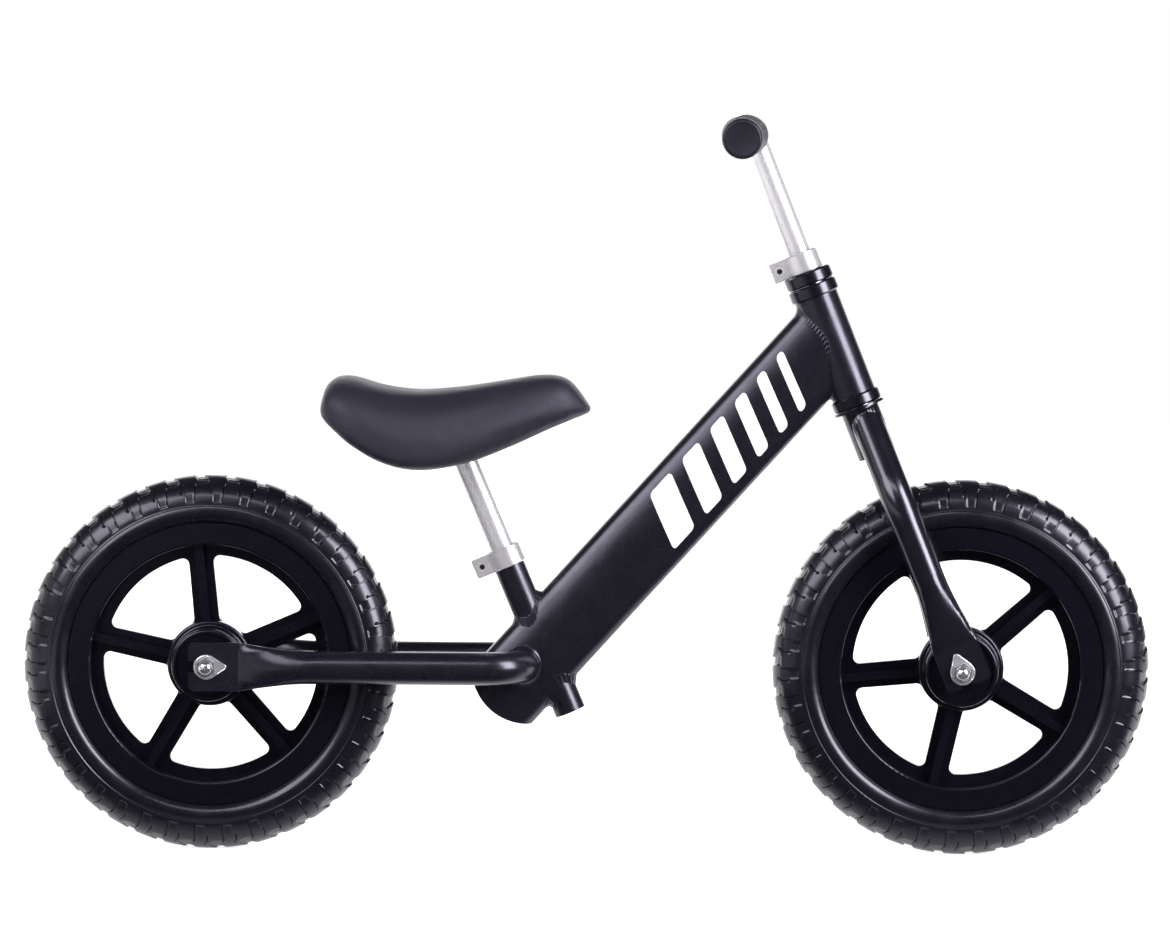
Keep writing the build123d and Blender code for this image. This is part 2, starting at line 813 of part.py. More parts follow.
def cap_nuts(frame):
    seat = outside_of(frame).offset(washer_thickness)
    with BuildPart() as nut:
        with BuildSketch(seat):
            RegularPolygon(nut_across_flats / 2, 6, major_radius=False)
        extrude(amount=nut_hex_height)
        with BuildSketch(Plane(origin=seat.origin, x_dir=seat.x_dir, z_dir=-seat.y_dir)) as dome:
            with Locations((0, nut_hex_height)):
                Circle(nut_dome_radius)
            with Locations((-nut_dome_radius, nut_hex_height)):
                Rectangle(2 * nut_dome_radius, 4 * nut_dome_radius, mode=Mode.SUBTRACT)
        revolve(axis=Axis(seat.origin, seat.z_dir))
        with BuildSketch(seat):
            Circle(axle_radius + fit_gap)
        extrude(amount=nut_thread_depth, mode=Mode.SUBTRACT)
    return both_sides(nut.part)


bearing_inner_end = hub_half_length - bearing_width
outer_ring_bore = bearing_outer_radius - bearing_race_wall
inner_ring_radius = outer_ring_bore - running_gap
axle_bore = axle_radius + fit_gap
axle_sets = {}
for name, wheel, end in (("rear", rear_wheel, right_stay_end), ("front", front_wheel, right_fork_end)):
    axle_sets[f"{name}_axle"] = axle(wheel)
    axle_sets[f"{name}_hub_spacer"] = ring(
        wheel, -bearing_inner_end, bearing_inner_end, axle_bore + hub_spacer_wall, axle_bore
    )
    axle_sets[f"{name}_axle_spacers"] = ring_pair(
        wheel, hub_half_length, dropout_half_gap, axle_bore + side_spacer_wall, axle_bore
    )
    axle_sets[f"{name}_bearing_outer_rings"] = ring_pair(
        wheel, bearing_inner_end, hub_half_length, bearing_outer_radius, outer_ring_bore
    )
    axle_sets[f"{name}_bearing_inner_rings"] = ring_pair(
        wheel, bearing_inner_end, hub_half_length, inner_ring_radius, axle_bore
    )
    axle_sets[f"{name}_tab_washers"] = tab_washers(end)
    axle_sets[f"{name}_axle_nuts"] = cap_nuts(end)

# Seat: a post with a level plate, a base board on the plate and a crowned pad over the board
post_top = seat_line.offset(seat_tube_length + post_exposed).origin
plate_top = Plane(origin=post_top)
plate_bottom = plate_top.offset(-post_plate_thickness)

post_low = seat_tube_length - post_insertion

with BuildPart() as seat_post:
    with BuildSketch(seat_line.offset(post_low)):
        Circle(inner_tube_radius)
        Circle(inner_tube_radius - inner_tube_wall, mode=Mode.SUBTRACT)
    extrude(amount=post_insertion + post_exposed + inner_tube_radius)
    with BuildSketch(plate_bottom):
        Rectangle(4 * post_plate_length, 4 * post_plate_width)
    extrude(amount=post_exposed, mode=Mode.SUBTRACT)

screw_spots = GridLocations(
    post_plate_length - 2 * screw_inset, post_plate_width - 2 * screw_inset, 2, 2
).locations

with BuildPart() as seat_post_plate:
    with BuildSketch(plate_bottom):
        RectangleRounded(post_plate_length, post_plate_width, screw_inset)
        with Locations(*screw_spots):
            Circle(screw_radius + running_gap, mode=Mode.SUBTRACT)
    extrude(amount=post_plate_thickness)


def board_outline(inset):
    # The board narrows towards the nose
    with BuildSketch(Plane.XY) as board:
        with BuildLine():
            Polyline(
                (seat_base_rear + inset, -seat_base_rear_half_width + inset),
                (seat_base_front - inset, -seat_base_front_half_width + inset),
                (seat_base_front - inset, seat_base_front_half_width - inset),
                (seat_base_rear + inset, seat_base_rear_half_width - inset),
                close=True,
            )
        make_face()
        fillet(board.vertices(), seat_base_corner)
    return board.sketch


with BuildPart() as seat_base:
    with BuildSketch(plate_top):
        add(board_outline(0))
        with Locations(*screw_spots):
            Circle(screw_radius + running_gap, mode=Mode.SUBTRACT)
    extrude(amount=seat_base_thickness)

with BuildPart() as seat_screws:
    with BuildSketch(plate_bottom):
        with Locations(*screw_spots):
            Circle(screw_radius)
    extrude(amount=screw_depth)
    with BuildSketch(plate_bottom.offset(-screw_head_height)):
        with Locations(*screw_spots):
            Circle(screw_head_radius)
    extrude(amount=screw_head_height)

with BuildPart() as seat_pad:
    for ahead, low, high, half_width in seat_stations:
        height = high - low
        station = Plane(
            origin=plate_top.from_local_coords((ahead, 0, 0)),
            x_dir=(0, 1, 0),
            z_dir=(1, 0, 0),
        )
        corner = (pad_shoulder_share * half_width, high - pad_shoulder_drop * height)
        widest = (half_width, low + pad_widest_share * height)
        hem = (pad_hem_share * half_width, low)
        with BuildSketch(station):
            with BuildLine():
                ThreePointArc((-corner[0], corner[1]), (0, high), corner)
                ThreePointArc(corner, widest, hem)
                Line(hem, (-hem[0], low))
                ThreePointArc((-hem[0], low), (-widest[0], widest[1]), (-corner[0], corner[1]))
            make_face()
    loft()
    with BuildSketch(plate_top.offset(seat_base_thickness)):
        add(board_outline(-seat_gap))
    extrude(amount=-post_exposed, mode=Mode.SUBTRACT)

# Every finished piece, by the name of its node
pieces = {
    "main_tube": main_tube,
    "main_tube_end_cap": main_tube_end_cap,
    "head_tube": head_tube,
    "seat_tube": seat_tube,
    "right_stay": right_stay,
    "left_stay": left_stay,
    "fork_steerer": fork_steerer,
    "crown_sleeve": crown_sleeve,
    "right_fork_leg": right_fork_leg,
    "left_fork_leg": left_fork_leg,
    "lower_headset_cup": lower_headset_cup,
    "upper_headset_cup": upper_headset_cup,
    "headset_bearing_outer_rings": headset_bearing_outer_rings,
    "headset_bearing_inner_rings": headset_bearing_inner_rings,
    "crown_race": crown_race,
    "upper_headset_cap": upper_headset_cap,
    "seat_clamp": seat_clamp,
    "seat_clamp_bolt": seat_clamp_bolt,
    "handlebar_clamp": handlebar_clamp,
    "handlebar_clamp_bolt": handlebar_clamp_bolt,
    "handlebar_crossbar": handlebar_crossbar,
    "handlebar_stem": handlebar_stem,
    "right_grip": right_grip,
    "left_grip": left_grip,
    "rear_rim": rear_rim,
    "rear_tyre": rear_tyre,
    "front_rim": front_rim,
    "front_tyre": front_tyre,
    "seat_post": seat_post,
    "seat_post_plate": seat_post_plate,
    "seat_base": seat_base,
    "seat_screws": seat_screws,
    "seat_pad": seat_pad,
}
pieces.update(axle_sets)

os.makedirs("parts", exist_ok=True)
for name, piece in pieces.items():
    piece.part.label = name
    export_step(piece.part, f"parts/{name}.step")
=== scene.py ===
import json
import bmesh
import bpy
import numpy as np
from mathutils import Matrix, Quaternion, Vector


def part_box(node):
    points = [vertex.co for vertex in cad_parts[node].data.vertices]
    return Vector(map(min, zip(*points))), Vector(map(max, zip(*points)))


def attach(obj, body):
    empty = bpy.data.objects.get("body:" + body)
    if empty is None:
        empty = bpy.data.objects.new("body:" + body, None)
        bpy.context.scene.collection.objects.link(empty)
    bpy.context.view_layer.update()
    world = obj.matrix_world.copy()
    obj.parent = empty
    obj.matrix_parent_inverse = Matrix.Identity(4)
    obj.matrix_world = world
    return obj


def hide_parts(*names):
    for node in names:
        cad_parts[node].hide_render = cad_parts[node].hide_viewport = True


# Looks of a child's balance bike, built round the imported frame. Metres, +X forward, +Z up.
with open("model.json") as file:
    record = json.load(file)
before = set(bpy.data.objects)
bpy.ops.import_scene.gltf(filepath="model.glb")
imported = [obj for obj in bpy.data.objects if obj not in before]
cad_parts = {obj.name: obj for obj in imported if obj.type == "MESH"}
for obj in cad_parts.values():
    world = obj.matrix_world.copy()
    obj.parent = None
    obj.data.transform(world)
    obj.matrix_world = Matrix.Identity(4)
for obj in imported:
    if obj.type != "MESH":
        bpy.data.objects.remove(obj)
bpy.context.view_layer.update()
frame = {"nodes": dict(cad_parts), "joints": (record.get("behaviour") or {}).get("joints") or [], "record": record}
nodes = frame["nodes"]
joints = {joint["name"]: joint for joint in frame["joints"]}
rearAxle = np.array(joints["rear_wheel_spin"]["pos_m"])
frontAxle = np.array(joints["front_wheel_spin"]["pos_m"])
steerUp = np.array(joints["steering"]["axis"])
seatUp = np.array(joints["seat_height"]["axis"])
acrossBike = np.array([0.0, 1.0, 0.0])
steerAhead = np.cross(acrossBike, steerUp)
seatAhead = np.cross(acrossBike, seatUp)
print("frame loaded with", len(nodes), "nodes")


def unit(vectors):
    return vectors / np.linalg.norm(vectors, axis=-1, keepdims=True)


def nodePoints(name):
    points = np.zeros(len(nodes[name].data.vertices) * 3, np.float32)
    nodes[name].data.vertices.foreach_get("co", points)
    return points.reshape(-1, 3)


# Puts a grid of points into a mesh: rows run along u, columns along v, quads between neighbours
def gridPiece(name, points, closeU=False, closeV=False, sharpAngle=None):
    nu, nv = points.shape[:2]
    rows, columns = np.arange(nu if closeU else nu - 1), np.arange(nv if closeV else nv - 1)
    i, j = np.meshgrid(rows, columns, indexing="ij")
    iNext, jNext = (i + 1) % nu, (j + 1) % nv
    quads = np.stack([i * nv + j, iNext * nv + j, iNext * nv + jNext, i * nv + jNext], -1).reshape(-1, 4)
    mesh = bpy.data.meshes.new(name)
    mesh.from_pydata(points.reshape(-1, 3).tolist(), [], quads.tolist())
    work = bmesh.new()
    work.from_mesh(mesh)
    bmesh.ops.remove_doubles(work, verts=work.verts, dist=1e-7)  # closes seams and poles
    bmesh.ops.recalc_face_normals(work, faces=work.faces)
    work.to_mesh(mesh)
    work.free()
    mesh.shade_smooth()
    if sharpAngle:
        mesh.set_sharp_from_angle(angle=np.radians(sharpAngle))
    piece = bpy.data.objects.new(name, mesh)
    bpy.context.scene.collection.objects.link(piece)
    return piece


# Rides a new piece on its body, gives it its finish, and hides the nodes that it stands for
def dress(piece, body, slot, finish, *stoodFor):
    piece.data.materials.clear()
    piece.data.materials.append(finish)
    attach(piece, body)
    if stoodFor:
        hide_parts(*stoodFor)
    return piece


def loop(count):
    return np.linspace(0, 2 * np.pi, count, endpoint=False)


# Directions at each turn round a circle that runs from first to second
def circle(turn, first, second):
    return np.cos(turn)[:, None] * first + np.sin(turn)[:, None] * second


# Turns rows of (distance along, radius) about an axis: point = origin + along + radius * direction(turn)
def turned(name, origin, axis, profile, steps, **options):
    axis = unit(np.asarray(axis, float))
    first = unit(np.cross(axis, [0.3, 0.2, 0.9]))
    second = np.cross(axis, first)
    spokes = circle(loop(steps), first, second)
    along, radius = np.asarray(profile, float).T
    points = origin + along[None, :, None] * axis + radius[None, :, None] * spokes[:, None, :]
    return gridPiece(name, points, closeU=True, **options)


# Smooth curve through control rows: Catmull-Rom, ends held by their own tangents
def throughRows(rows, samples):
    rows = np.asarray(rows, float)
    padded = np.vstack([2 * rows[0] - rows[1], rows, 2 * rows[-1] - rows[-2]])
    t = np.linspace(0, len(rows) - 1, samples)
    k = np.minimum(t.astype(int), len(rows) - 2)
    f = (t - k)[:, None]
    a, b, c, d = padded[k], padded[k + 1], padded[k + 2], padded[k + 3]
    return 0.5 * (2 * b + (c - a) * f + (2 * a - 5 * b + 4 * c - d) * f**2 + (3 * b - a - 3 * c + d) * f**3)


# Smooth step from 0 at low to 1 at high
def ramp(x, low, high):
    t = np.clip((x - low) / (high - low), 0, 1)
    return t * t * (3 - 2 * t)


# 1 between low and high, 0 outside, with edges that are soft to both sides
def window(x, low, high, soft):
    return ramp(x, low - soft, low + soft) * ramp(-x, -high - soft, -high + soft)


darkShine = (0.86, 0.84, 1.0, 1)  # dark pieces mirror the studio slightly violet


# Finishes. Each reads Object coordinates, so the grain stays on the piece in every pose.
def startFinish(name, color, roughness, metallic=0.0):
    finish = bpy.data.materials.new(name)
    finish.use_nodes = True
    shader = finish.node_tree.nodes["Principled BSDF"]
    shader.inputs["Base Color"].default_value = (*color, 1)
    shader.inputs["Roughness"].default_value = roughness
    shader.inputs["Metallic"].default_value = metallic
    if max(color) < 0.1:
        shader.inputs["Specular Tint"].default_value = darkShine
    return finish, shader


def addNode(finish, kind, inputs=None, **settings):
    node = finish.node_tree.nodes.new(kind)
    for key, value in settings.items():
        setattr(node, key, value)
    for key, value in (inputs or {}).items():
        node.inputs[key].default_value = value
    return node


def wire(finish, source, target):
    finish.node_tree.links.new(source, target)


# Object coordinates with a pattern turned, and drawn out along its own axes by stretch
def objectPlace(finish, stretch=(1, 1, 1), turn=(0, 0, 0)):
    place = addNode(finish, "ShaderNodeTexCoord")
    mapping = addNode(finish, "ShaderNodeMapping", {"Scale": stretch, "Rotation": turn},
                      vector_type="TEXTURE")
    wire(finish, place.outputs["Object"], mapping.inputs["Vector"])
    return mapping.outputs["Vector"]


def noise(finish, place, scale, detail=3.0, roughness=0.55):
    grain = addNode(finish, "ShaderNodeTexNoise", {"Scale": scale, "Detail": detail, "Roughness": roughness})
    wire(finish, place, grain.inputs["Vector"])
    return grain.outputs["Fac"]


# Lets the gloss wander by an amount to both sides, over the usual range of a noise
def varyGloss(finish, shader, value, gloss, amount):
    wander = addNode(finish, "ShaderNodeMapRange", {"From Min": 0.3, "From Max": 0.7})
    wander.inputs["To Min"].default_value = gloss - amount
    wander.inputs["To Max"].default_value = gloss + amount
    wire(finish, value, wander.inputs["Value"])
    wire(finish, wander.outputs["Result"], shader.inputs["Roughness"])


def tint(finish, shader, value, dark, light):
    shades = addNode(finish, "ShaderNodeMix", data_type="RGBA")
    shades.inputs["A"].default_value = (*dark, 1)
    shades.inputs["B"].default_value = (*light, 1)
    wire(finish, value, shades.inputs["Factor"])
    wire(finish, shades.outputs["Result"], shader.inputs["Base Color"])


def bumpUp(finish, shader, value, strength, distance):
    bump = addNode(finish, "ShaderNodeBump", {"Strength": strength, "Distance": distance})
    wire(finish, value, bump.inputs["Height"])
    wire(finish, bump.outputs["Normal"], shader.inputs["Normal"])


# Powder coat: faint orange peel and slow changes of gloss
def paintFinish(name, dark, light, gloss, peel, coat):
    finish, shader = startFinish(name, light, gloss)
    place = objectPlace(finish)
    tint(finish, shader, noise(finish, place, scale=18), dark, light)
    varyGloss(finish, shader, noise(finish, place, scale=60), gloss, amount=0.04)
    bumpUp(finish, shader, noise(finish, place, scale=900, detail=2), strength=peel, distance=0.0002)
    shader.inputs["Specular IOR Level"].default_value = 0.7
    shader.inputs["Coat Weight"].default_value = coat
    shader.inputs["Coat Roughness"].default_value = 0.12
    return finish


# Moulded plastic: fine spark-eroded grain and a soft gloss
def plasticFinish(name, dark, light, gloss, shine):
    finish, shader = startFinish(name, light, gloss)
    place = objectPlace(finish)
    tint(finish, shader, noise(finish, place, scale=30), dark, light)
    varyGloss(finish, shader, noise(finish, place, scale=140), gloss, amount=0.04)
    bumpUp(finish, shader, noise(finish, place, scale=1800, detail=2), strength=0.03, distance=0.00015)
    shader.inputs["Specular IOR Level"].default_value = shine
    return finish


# Foam skin: pores, and a dull bloom that comes and goes
def foamFinish(name, dark, light, gloss, skin):
    finish, shader = startFinish(name, light, gloss)
    place = objectPlace(finish)
    tint(finish, shader, noise(finish, place, scale=45, detail=5), dark, light)
    varyGloss(finish, shader, noise(finish, place, scale=70, detail=4), gloss, amount=0.06)
    pores = addNode(finish, "ShaderNodeTexVoronoi", {"Scale": 1400.0})
    wire(finish, place, pores.inputs["Vector"])
    bumpUp(finish, shader, pores.outputs["Distance"], strength=0.08, distance=0.0002)
    shader.inputs["Coat Weight"].default_value = skin
    shader.inputs["Coat Roughness"].default_value = 0.16
    return finish


# Vinyl: close pebbled grain under a dull lacquer
def vinylFinish(name, dark, light, gloss):
    finish, shader = startFinish(name, light, gloss)
    place = objectPlace(finish)
    tint(finish, shader, noise(finish, place, scale=26, detail=4), dark, light)
    varyGloss(finish, shader, noise(finish, place, scale=50), gloss, amount=0.05)
    pebbles = addNode(finish, "ShaderNodeTexVoronoi", {"Scale": 950.0}, feature="SMOOTH_F1")
    wire(finish, place, pebbles.inputs["Vector"])
    bumpUp(finish, shader, pebbles.outputs["Distance"], strength=0.22, distance=0.0003)
    shader.inputs["Sheen Weight"].default_value = 0.06
    shader.inputs["Sheen Roughness"].default_value = 0.4
    return finish


# Drawn or turned metal: faint lines, drawn out by how far each axis is stretched, under a satin bloom
def metalFinish(name, dark, light, gloss, bloom, stretch=(1, 1, 1), turn=(0, 0, 0)):
    finish, shader = startFinish(name, light, gloss, 1.0 - bloom)
    place = objectPlace(finish, stretch, turn)
    streaks = noise(finish, place, scale=160, detail=2)
    tint(finish, shader, streaks, dark, light)
    varyGloss(finish, shader, streaks, gloss, amount=0.015)
    return finish


alongTubes = (0, -np.arctan2(-steerUp[0], steerUp[2]), 0)  # turns the lines of the metal to the leaning tubes
# dark and light shade of each, then its gloss and what its kind adds
finishes = {
    "frame_paint": paintFinish("satinBlack", (0.0066, 0.0065, 0.0106), (0.0082, 0.0081, 0.0130),
                               gloss=0.27, peel=0.03, coat=0.0),
    "fork_paint": paintFinish("glossBlack", (0.0060, 0.0059, 0.0096), (0.0074, 0.0073, 0.0116),
                              gloss=0.22, peel=0.02, coat=0.3),
    "headset_black": paintFinish("headsetBlack", (0.0028, 0.0028, 0.0056), (0.0040, 0.0040, 0.0074),
                                 gloss=0.24, peel=0.04, coat=0.2),
    "tube_alloy": metalFinish("drawnAlloy", (0.83, 0.82, 0.84), (0.85, 0.84, 0.86),
                              gloss=0.27, bloom=0.36, stretch=(1, 1, 33), turn=alongTubes),
    "clamp_alloy": metalFinish("turnedAlloy", (0.85, 0.84, 0.86), (0.87, 0.86, 0.88),
                               gloss=0.25, bloom=0.30, stretch=(1, 1, 0.17), turn=alongTubes),
    "rim_plastic": plasticFinish("rimPlastic", (0.0026, 0.0026, 0.0054), (0.0036, 0.0036, 0.0070),
                                 gloss=0.23, shine=0.5),
    "tyre_foam": foamFinish("tyreFoam", (0.0044, 0.0042, 0.0072), (0.0066, 0.0062, 0.0100),
                            gloss=0.30, skin=0.3),
    "grip_rubber": foamFinish("gripRubber", (0.0056, 0.0056, 0.0094), (0.0078, 0.0078, 0.0126),
                              gloss=0.46, skin=0.0),
    "seat_cover": vinylFinish("seatVinyl", (0.0116, 0.0109, 0.0192), (0.0160, 0.0150, 0.0250), gloss=0.55),
    "seat_board": plasticFinish("seatBoard", (0.012, 0.012, 0.012), (0.016, 0.016, 0.016),
                                gloss=0.5, shine=0.5),
    "plate_steel": paintFinish("plateBlack", (0.012, 0.012, 0.012), (0.016, 0.016, 0.016),
                               gloss=0.4, peel=0.05, coat=0.0),
    "bolt_steel": metalFinish("boltSteel", (0.70, 0.69, 0.71), (0.76, 0.75, 0.77), gloss=0.38, bloom=0.30),
    "axle_steel": metalFinish("axleSteel", (0.50, 0.49, 0.47), (0.60, 0.59, 0.57), gloss=0.30, bloom=0.0),
    "washer_steel": metalFinish("washerSteel", (0.78, 0.78, 0.80), (0.82, 0.82, 0.84),
                                gloss=0.24, bloom=0.22, stretch=(5, 5, 5)),
    "nut_chrome": metalFinish("brightNut", (0.82, 0.82, 0.84), (0.86, 0.86, 0.88),
                              gloss=0.15, bloom=0.10, stretch=(5, 5, 5)),
    "bearing_steel": metalFinish("bearingSteel", (0.55, 0.55, 0.55), (0.65, 0.65, 0.65),
                                 gloss=0.25, bloom=0.0),
}
for subpart in frame["record"]["subparts"]:
    mesh = nodes[subpart["node"]].data
    mesh.materials.clear()
    mesh.materials.append(finishes[subpart["material_slot"]])

# Tyre: a section swept round the axle, with shallow crown gaps, curved slits and small square hollows
tyre = {
    "radius": 0.145,
    "blocks": 38,
    # tread marks: low, high and softness, in shares of the pitch and in distances from the crown's middle
    "gapShares": ((-0.5, 0.28, 0.018), (0.91, 1.5, 0.018)),
    "gapSteps": ((0.0090, 0.00045), (0.0132, 0.00045), (0.0174, 0.0005)),
    "gapSoft": 0.0004,
    "slits": (
        {"share": (0.90, 0.94, 0.010), "reach": (0.0176, 0.0335, 0.0006), "depth": 0.0012},
        {"share": (0.462, 0.488, 0.010), "reach": (0.0136, 0.0262, 0.0006), "depth": 0.00072},
    ),
    "hollow": {"share": (0.57, 0.87, 0.018), "reach": (0.0240, 0.0332, 0.0004), "depth": 0.0007},
    "hollowSlope": (0.0236, 0.0320),
    # shares of the pitch that the rows lean out and back, and the distances between which they do
    "leanOut": (0.20, 0.013),
    "leanBack": (0.12, 0.0138, 0.0204),
    "crownHalf": 0.014,
    "crownDrop": 0.001,
    "shoulderRadius": 0.1405,
    "shoulderBulge": (0.1325, 0.0213),
    "creaseRadius": 0.1228,
    "creaseHalf": 0.0240,
    "groove": ((-0.0005, 0.0003), (-0.0012, -0.0003)),
    "flankHalf": 0.0246,
    "flankRadius": 0.1165,
    "lapRadius": 0.1096,
    "lapHalf": 0.0203,
    "seatRadius": 0.0966,
    "seatHalf": 0.0162,
    # grid lines: millimetres from the crown's middle and shares of the pitch, closer where the tread changes
    "across": (0, 3, 6, 8.6, 9.0, 9.4, 11, 12.8, 13.2, 13.6, 15.2, 17.0, 17.4, 17.8, 20.4, 23, 25.6, 26.2,
               26.8, 27.6, 28.2, 29.8, 31.4, 32.0, 32.6, 33.2, 34.0, 34.8),
    "along": (0.0, 0.13, 0.262, 0.28, 0.298, 0.37, 0.45, 0.462, 0.474, 0.488, 0.50, 0.552, 0.57, 0.588,
              0.632, 0.65, 0.668, 0.73, 0.772, 0.79, 0.808, 0.84, 0.87, 0.89, 0.908, 0.92, 0.932, 0.95, 0.97),
    "bandShares": (0.06, 1, 12),
    "sharpAngle": 50,
}


# Arc through three points of the section, sampled at shares of its turn
def arcThrough(start, middle, end, shares):
    (ax, ay), (bx, by), (cx, cy) = start, middle, end
    d = 2 * (ax * (by - cy) + bx * (cy - ay) + cx * (ay - by))
    squares = (ax**2 + ay**2, bx**2 + by**2, cx**2 + cy**2)
    ux = (squares[0] * (by - cy) + squares[1] * (cy - ay) + squares[2] * (ay - by)) / d
    uy = (squares[0] * (cx - bx) + squares[1] * (ax - cx) + squares[2] * (bx - ax)) / d
    a0, a1, a2 = (np.arctan2(y - uy, x - ux) for x, y in (start, middle, end))
    a1 = a0 + (a1 - a0 + np.pi) % (2 * np.pi) - np.pi
    a2 = a1 + (a2 - a1 + np.pi) % (2 * np.pi) - np.pi
    turn = a0 + (a2 - a0) * np.asarray(shares)
    reach = np.hypot(ax - ux, ay - uy)
    return np.stack([ux + reach * np.cos(turn), uy + reach * np.sin(turn)], -1)


# Radius and half width along one half of the section, from the crown's middle to the rim's channel
def tyreSection():
    shoulder = (tyre["shoulderRadius"], tyre["crownHalf"])
    nearCrown = (tyre["radius"] - tyre["crownDrop"], tyre["crownHalf"] / 2)
    crown = arcThrough((tyre["radius"], 0), nearCrown, shoulder, np.linspace(0, 1, 60))
    crease = (tyre["creaseRadius"], tyre["creaseHalf"])
    flank = arcThrough(shoulder, tyre["shoulderBulge"], crease, np.linspace(0, 1, 90))
    return np.vstack([crown, flank[1:]])


# How far the rows lean along the tyre: the crown gaps one way, the slits back again
def treadLean(s):
    out, outBy = tyre["leanOut"]
    back, backFrom, backBy = tyre["leanBack"]
    return out * np.clip(s / outBy, 0, 1) - back * ramp(s, backFrom, backBy)


# Depth of the tread's marks at a share of the pitch, taken along the lean, and a distance s from the crown
def treadDepth(share, s):
    def mark(shape):
        return window(share, *shape["share"]) * window(s, *shape["reach"]) * shape["depth"]

    soft = tyre["gapSoft"]
    steps = sum(depth * ramp(-s, -edge - soft, -edge + soft) for edge, depth in tyre["gapSteps"])
    gap = sum(window(share, *span) for span in tyre["gapShares"]) * steps
    slit = sum(mark(shape) for shape in tyre["slits"])
    hollow = mark(tyre["hollow"]) * ramp(s, *tyre["hollowSlope"])
    return np.maximum.reduce([gap, slit, hollow])


# Section round the axle: angle = (block + share + lean) * pitch, sunk along its normal by the tread's depth
def tyrePiece(name, axle):
    half = tyreSection()
    lengths = np.concatenate([[0], np.cumsum(np.linalg.norm(np.diff(half, axis=0), axis=1))])
    s = np.append(np.array(tyre["across"]) / 1000, lengths[-1])
    tread = np.stack([np.interp(s, lengths, half[:, 0]), np.interp(s, lengths, half[:, 1])], -1)
    slope = np.gradient(tread, s, axis=0)
    outward = unit(np.stack([slope[:, 1], -slope[:, 0]], -1))
    share = np.tile(tyre["along"], tyre["blocks"])
    turns = share + np.repeat(np.arange(tyre["blocks"]), len(tyre["along"]))
    treadGrid = tread[None] - treadDepth(share[:, None], s[None, :])[..., None] * outward[None]
    # smooth bulged band from the crease to the rim, then the hidden part in the rim's channel
    groove = np.array([tyre["creaseRadius"], tyre["creaseHalf"]]) + np.array(tyre["groove"])
    bulge, lap = (tyre["flankRadius"], tyre["flankHalf"]), (tyre["lapRadius"], tyre["lapHalf"])
    band = arcThrough(groove[1], bulge, lap, np.linspace(*tyre["bandShares"]))
    channel = np.array([[tyre["lapRadius"], tyre["seatHalf"]], [tyre["seatRadius"], tyre["seatHalf"]],
                        [tyre["seatRadius"], 0]])
    rest = np.vstack([groove, band, channel])
    right = np.concatenate([treadGrid, np.broadcast_to(rest, (len(turns), *rest.shape))], axis=1)
    left = right[:, -2:0:-1] * np.array([1.0, -1.0])
    ringGrid = np.concatenate([right, left], axis=1)
    lean = np.concatenate([treadLean(s), np.full(len(rest), treadLean(s[-1]))])
    lean = np.concatenate([lean, lean[-2:0:-1]])
    angle = -(turns[:, None] + lean[None, :]) * 2 * np.pi / tyre["blocks"]
    points = np.stack([axle[0] + ringGrid[..., 0] * np.cos(angle), axle[1] - ringGrid[..., 1],
                       axle[2] + ringGrid[..., 0] * np.sin(angle)], -1)
    return gridPiece(name, points, closeU=True, closeV=True, sharpAngle=tyre["sharpAngle"])


for side, axle in (("rear", rearAxle), ("front", frontAxle)):
    piece = tyrePiece(f"{side}_foam_tyre", axle)
    dress(piece, f"{side}_wheel", "tyre_foam", finishes["tyre_foam"], f"{side}_tyre")
    print(piece.name, len(piece.data.polygons), "faces")

# Seat: rounded sections along a curve, swelled a little as stuffed vinyl is
seat = {
    # along the bike, top, hem, half width
    "stations": (
        (-0.2042, 0.3420, 0.3412, 0.030),
        (-0.2022, 0.3512, 0.3370, 0.044),
        (-0.1985, 0.3620, 0.3325, 0.052),
        (-0.1900, 0.3674, 0.3245, 0.058),
        (-0.1780, 0.3660, 0.3145, 0.0625),
        (-0.1550, 0.3592, 0.3016, 0.064),
        (-0.1280, 0.3563, 0.2961, 0.062),
        (-0.0950, 0.3588, 0.3010, 0.055),
        (-0.0600, 0.3643, 0.3140, 0.045),
        (-0.0300, 0.3690, 0.3275, 0.036),
        (-0.0160, 0.3668, 0.3333, 0.031),
        (-0.0079, 0.3602, 0.3366, 0.026),
        (-0.0006, 0.3505, 0.3392, 0.020),
        (0.0056, 0.3416, 0.3408, 0.011),
    ),
    "topPower": 0.62,
    "topRisePower": 0.85,
    "hemPower": 0.30,
    "middleShare": 0.36,
    "grid": 72,
    "shrink": 0.0008,
    "shrinkShare": 0.4,
    "voxel": 0.0031,
    "quality": 5,
    "pressure": 2.0,
    "moveCap": 0.0012,
    "frames": 20,
    "relaxFactor": 0.5,
    "relaxSteps": 3,
}


# Section at each station: y = half width * cos, z = middle + half height * sin, both raised to a power
# under 1 that squares the section off, gently over the top and tightly at the hem
def seatSurface():
    x, top, hem, half = throughRows(seat["stations"], seat["grid"]).T
    top, hem = top - seat["shrink"], hem + np.minimum(seat["shrink"], seat["shrinkShare"] * (top - hem))
    middle = hem + seat["middleShare"] * (top - hem)
    angle = loop(seat["grid"])[None, :]
    upper = np.sin(angle) > 0
    power = np.where(upper, seat["topPower"], seat["hemPower"])
    cosine = np.sign(np.cos(angle)) * np.abs(np.cos(angle)) ** power
    risePower = np.where(upper, seat["topRisePower"], seat["hemPower"])
    sine = np.sign(np.sin(angle)) * np.abs(np.sin(angle)) ** risePower
    rise = np.where(upper, (top - middle)[:, None], (middle - hem)[:, None])
    y = (half - seat["shrink"])[:, None] * cosine
    z = middle[:, None] + rise * sine
    return np.stack([np.broadcast_to(x[:, None], y.shape), y, z], -1)


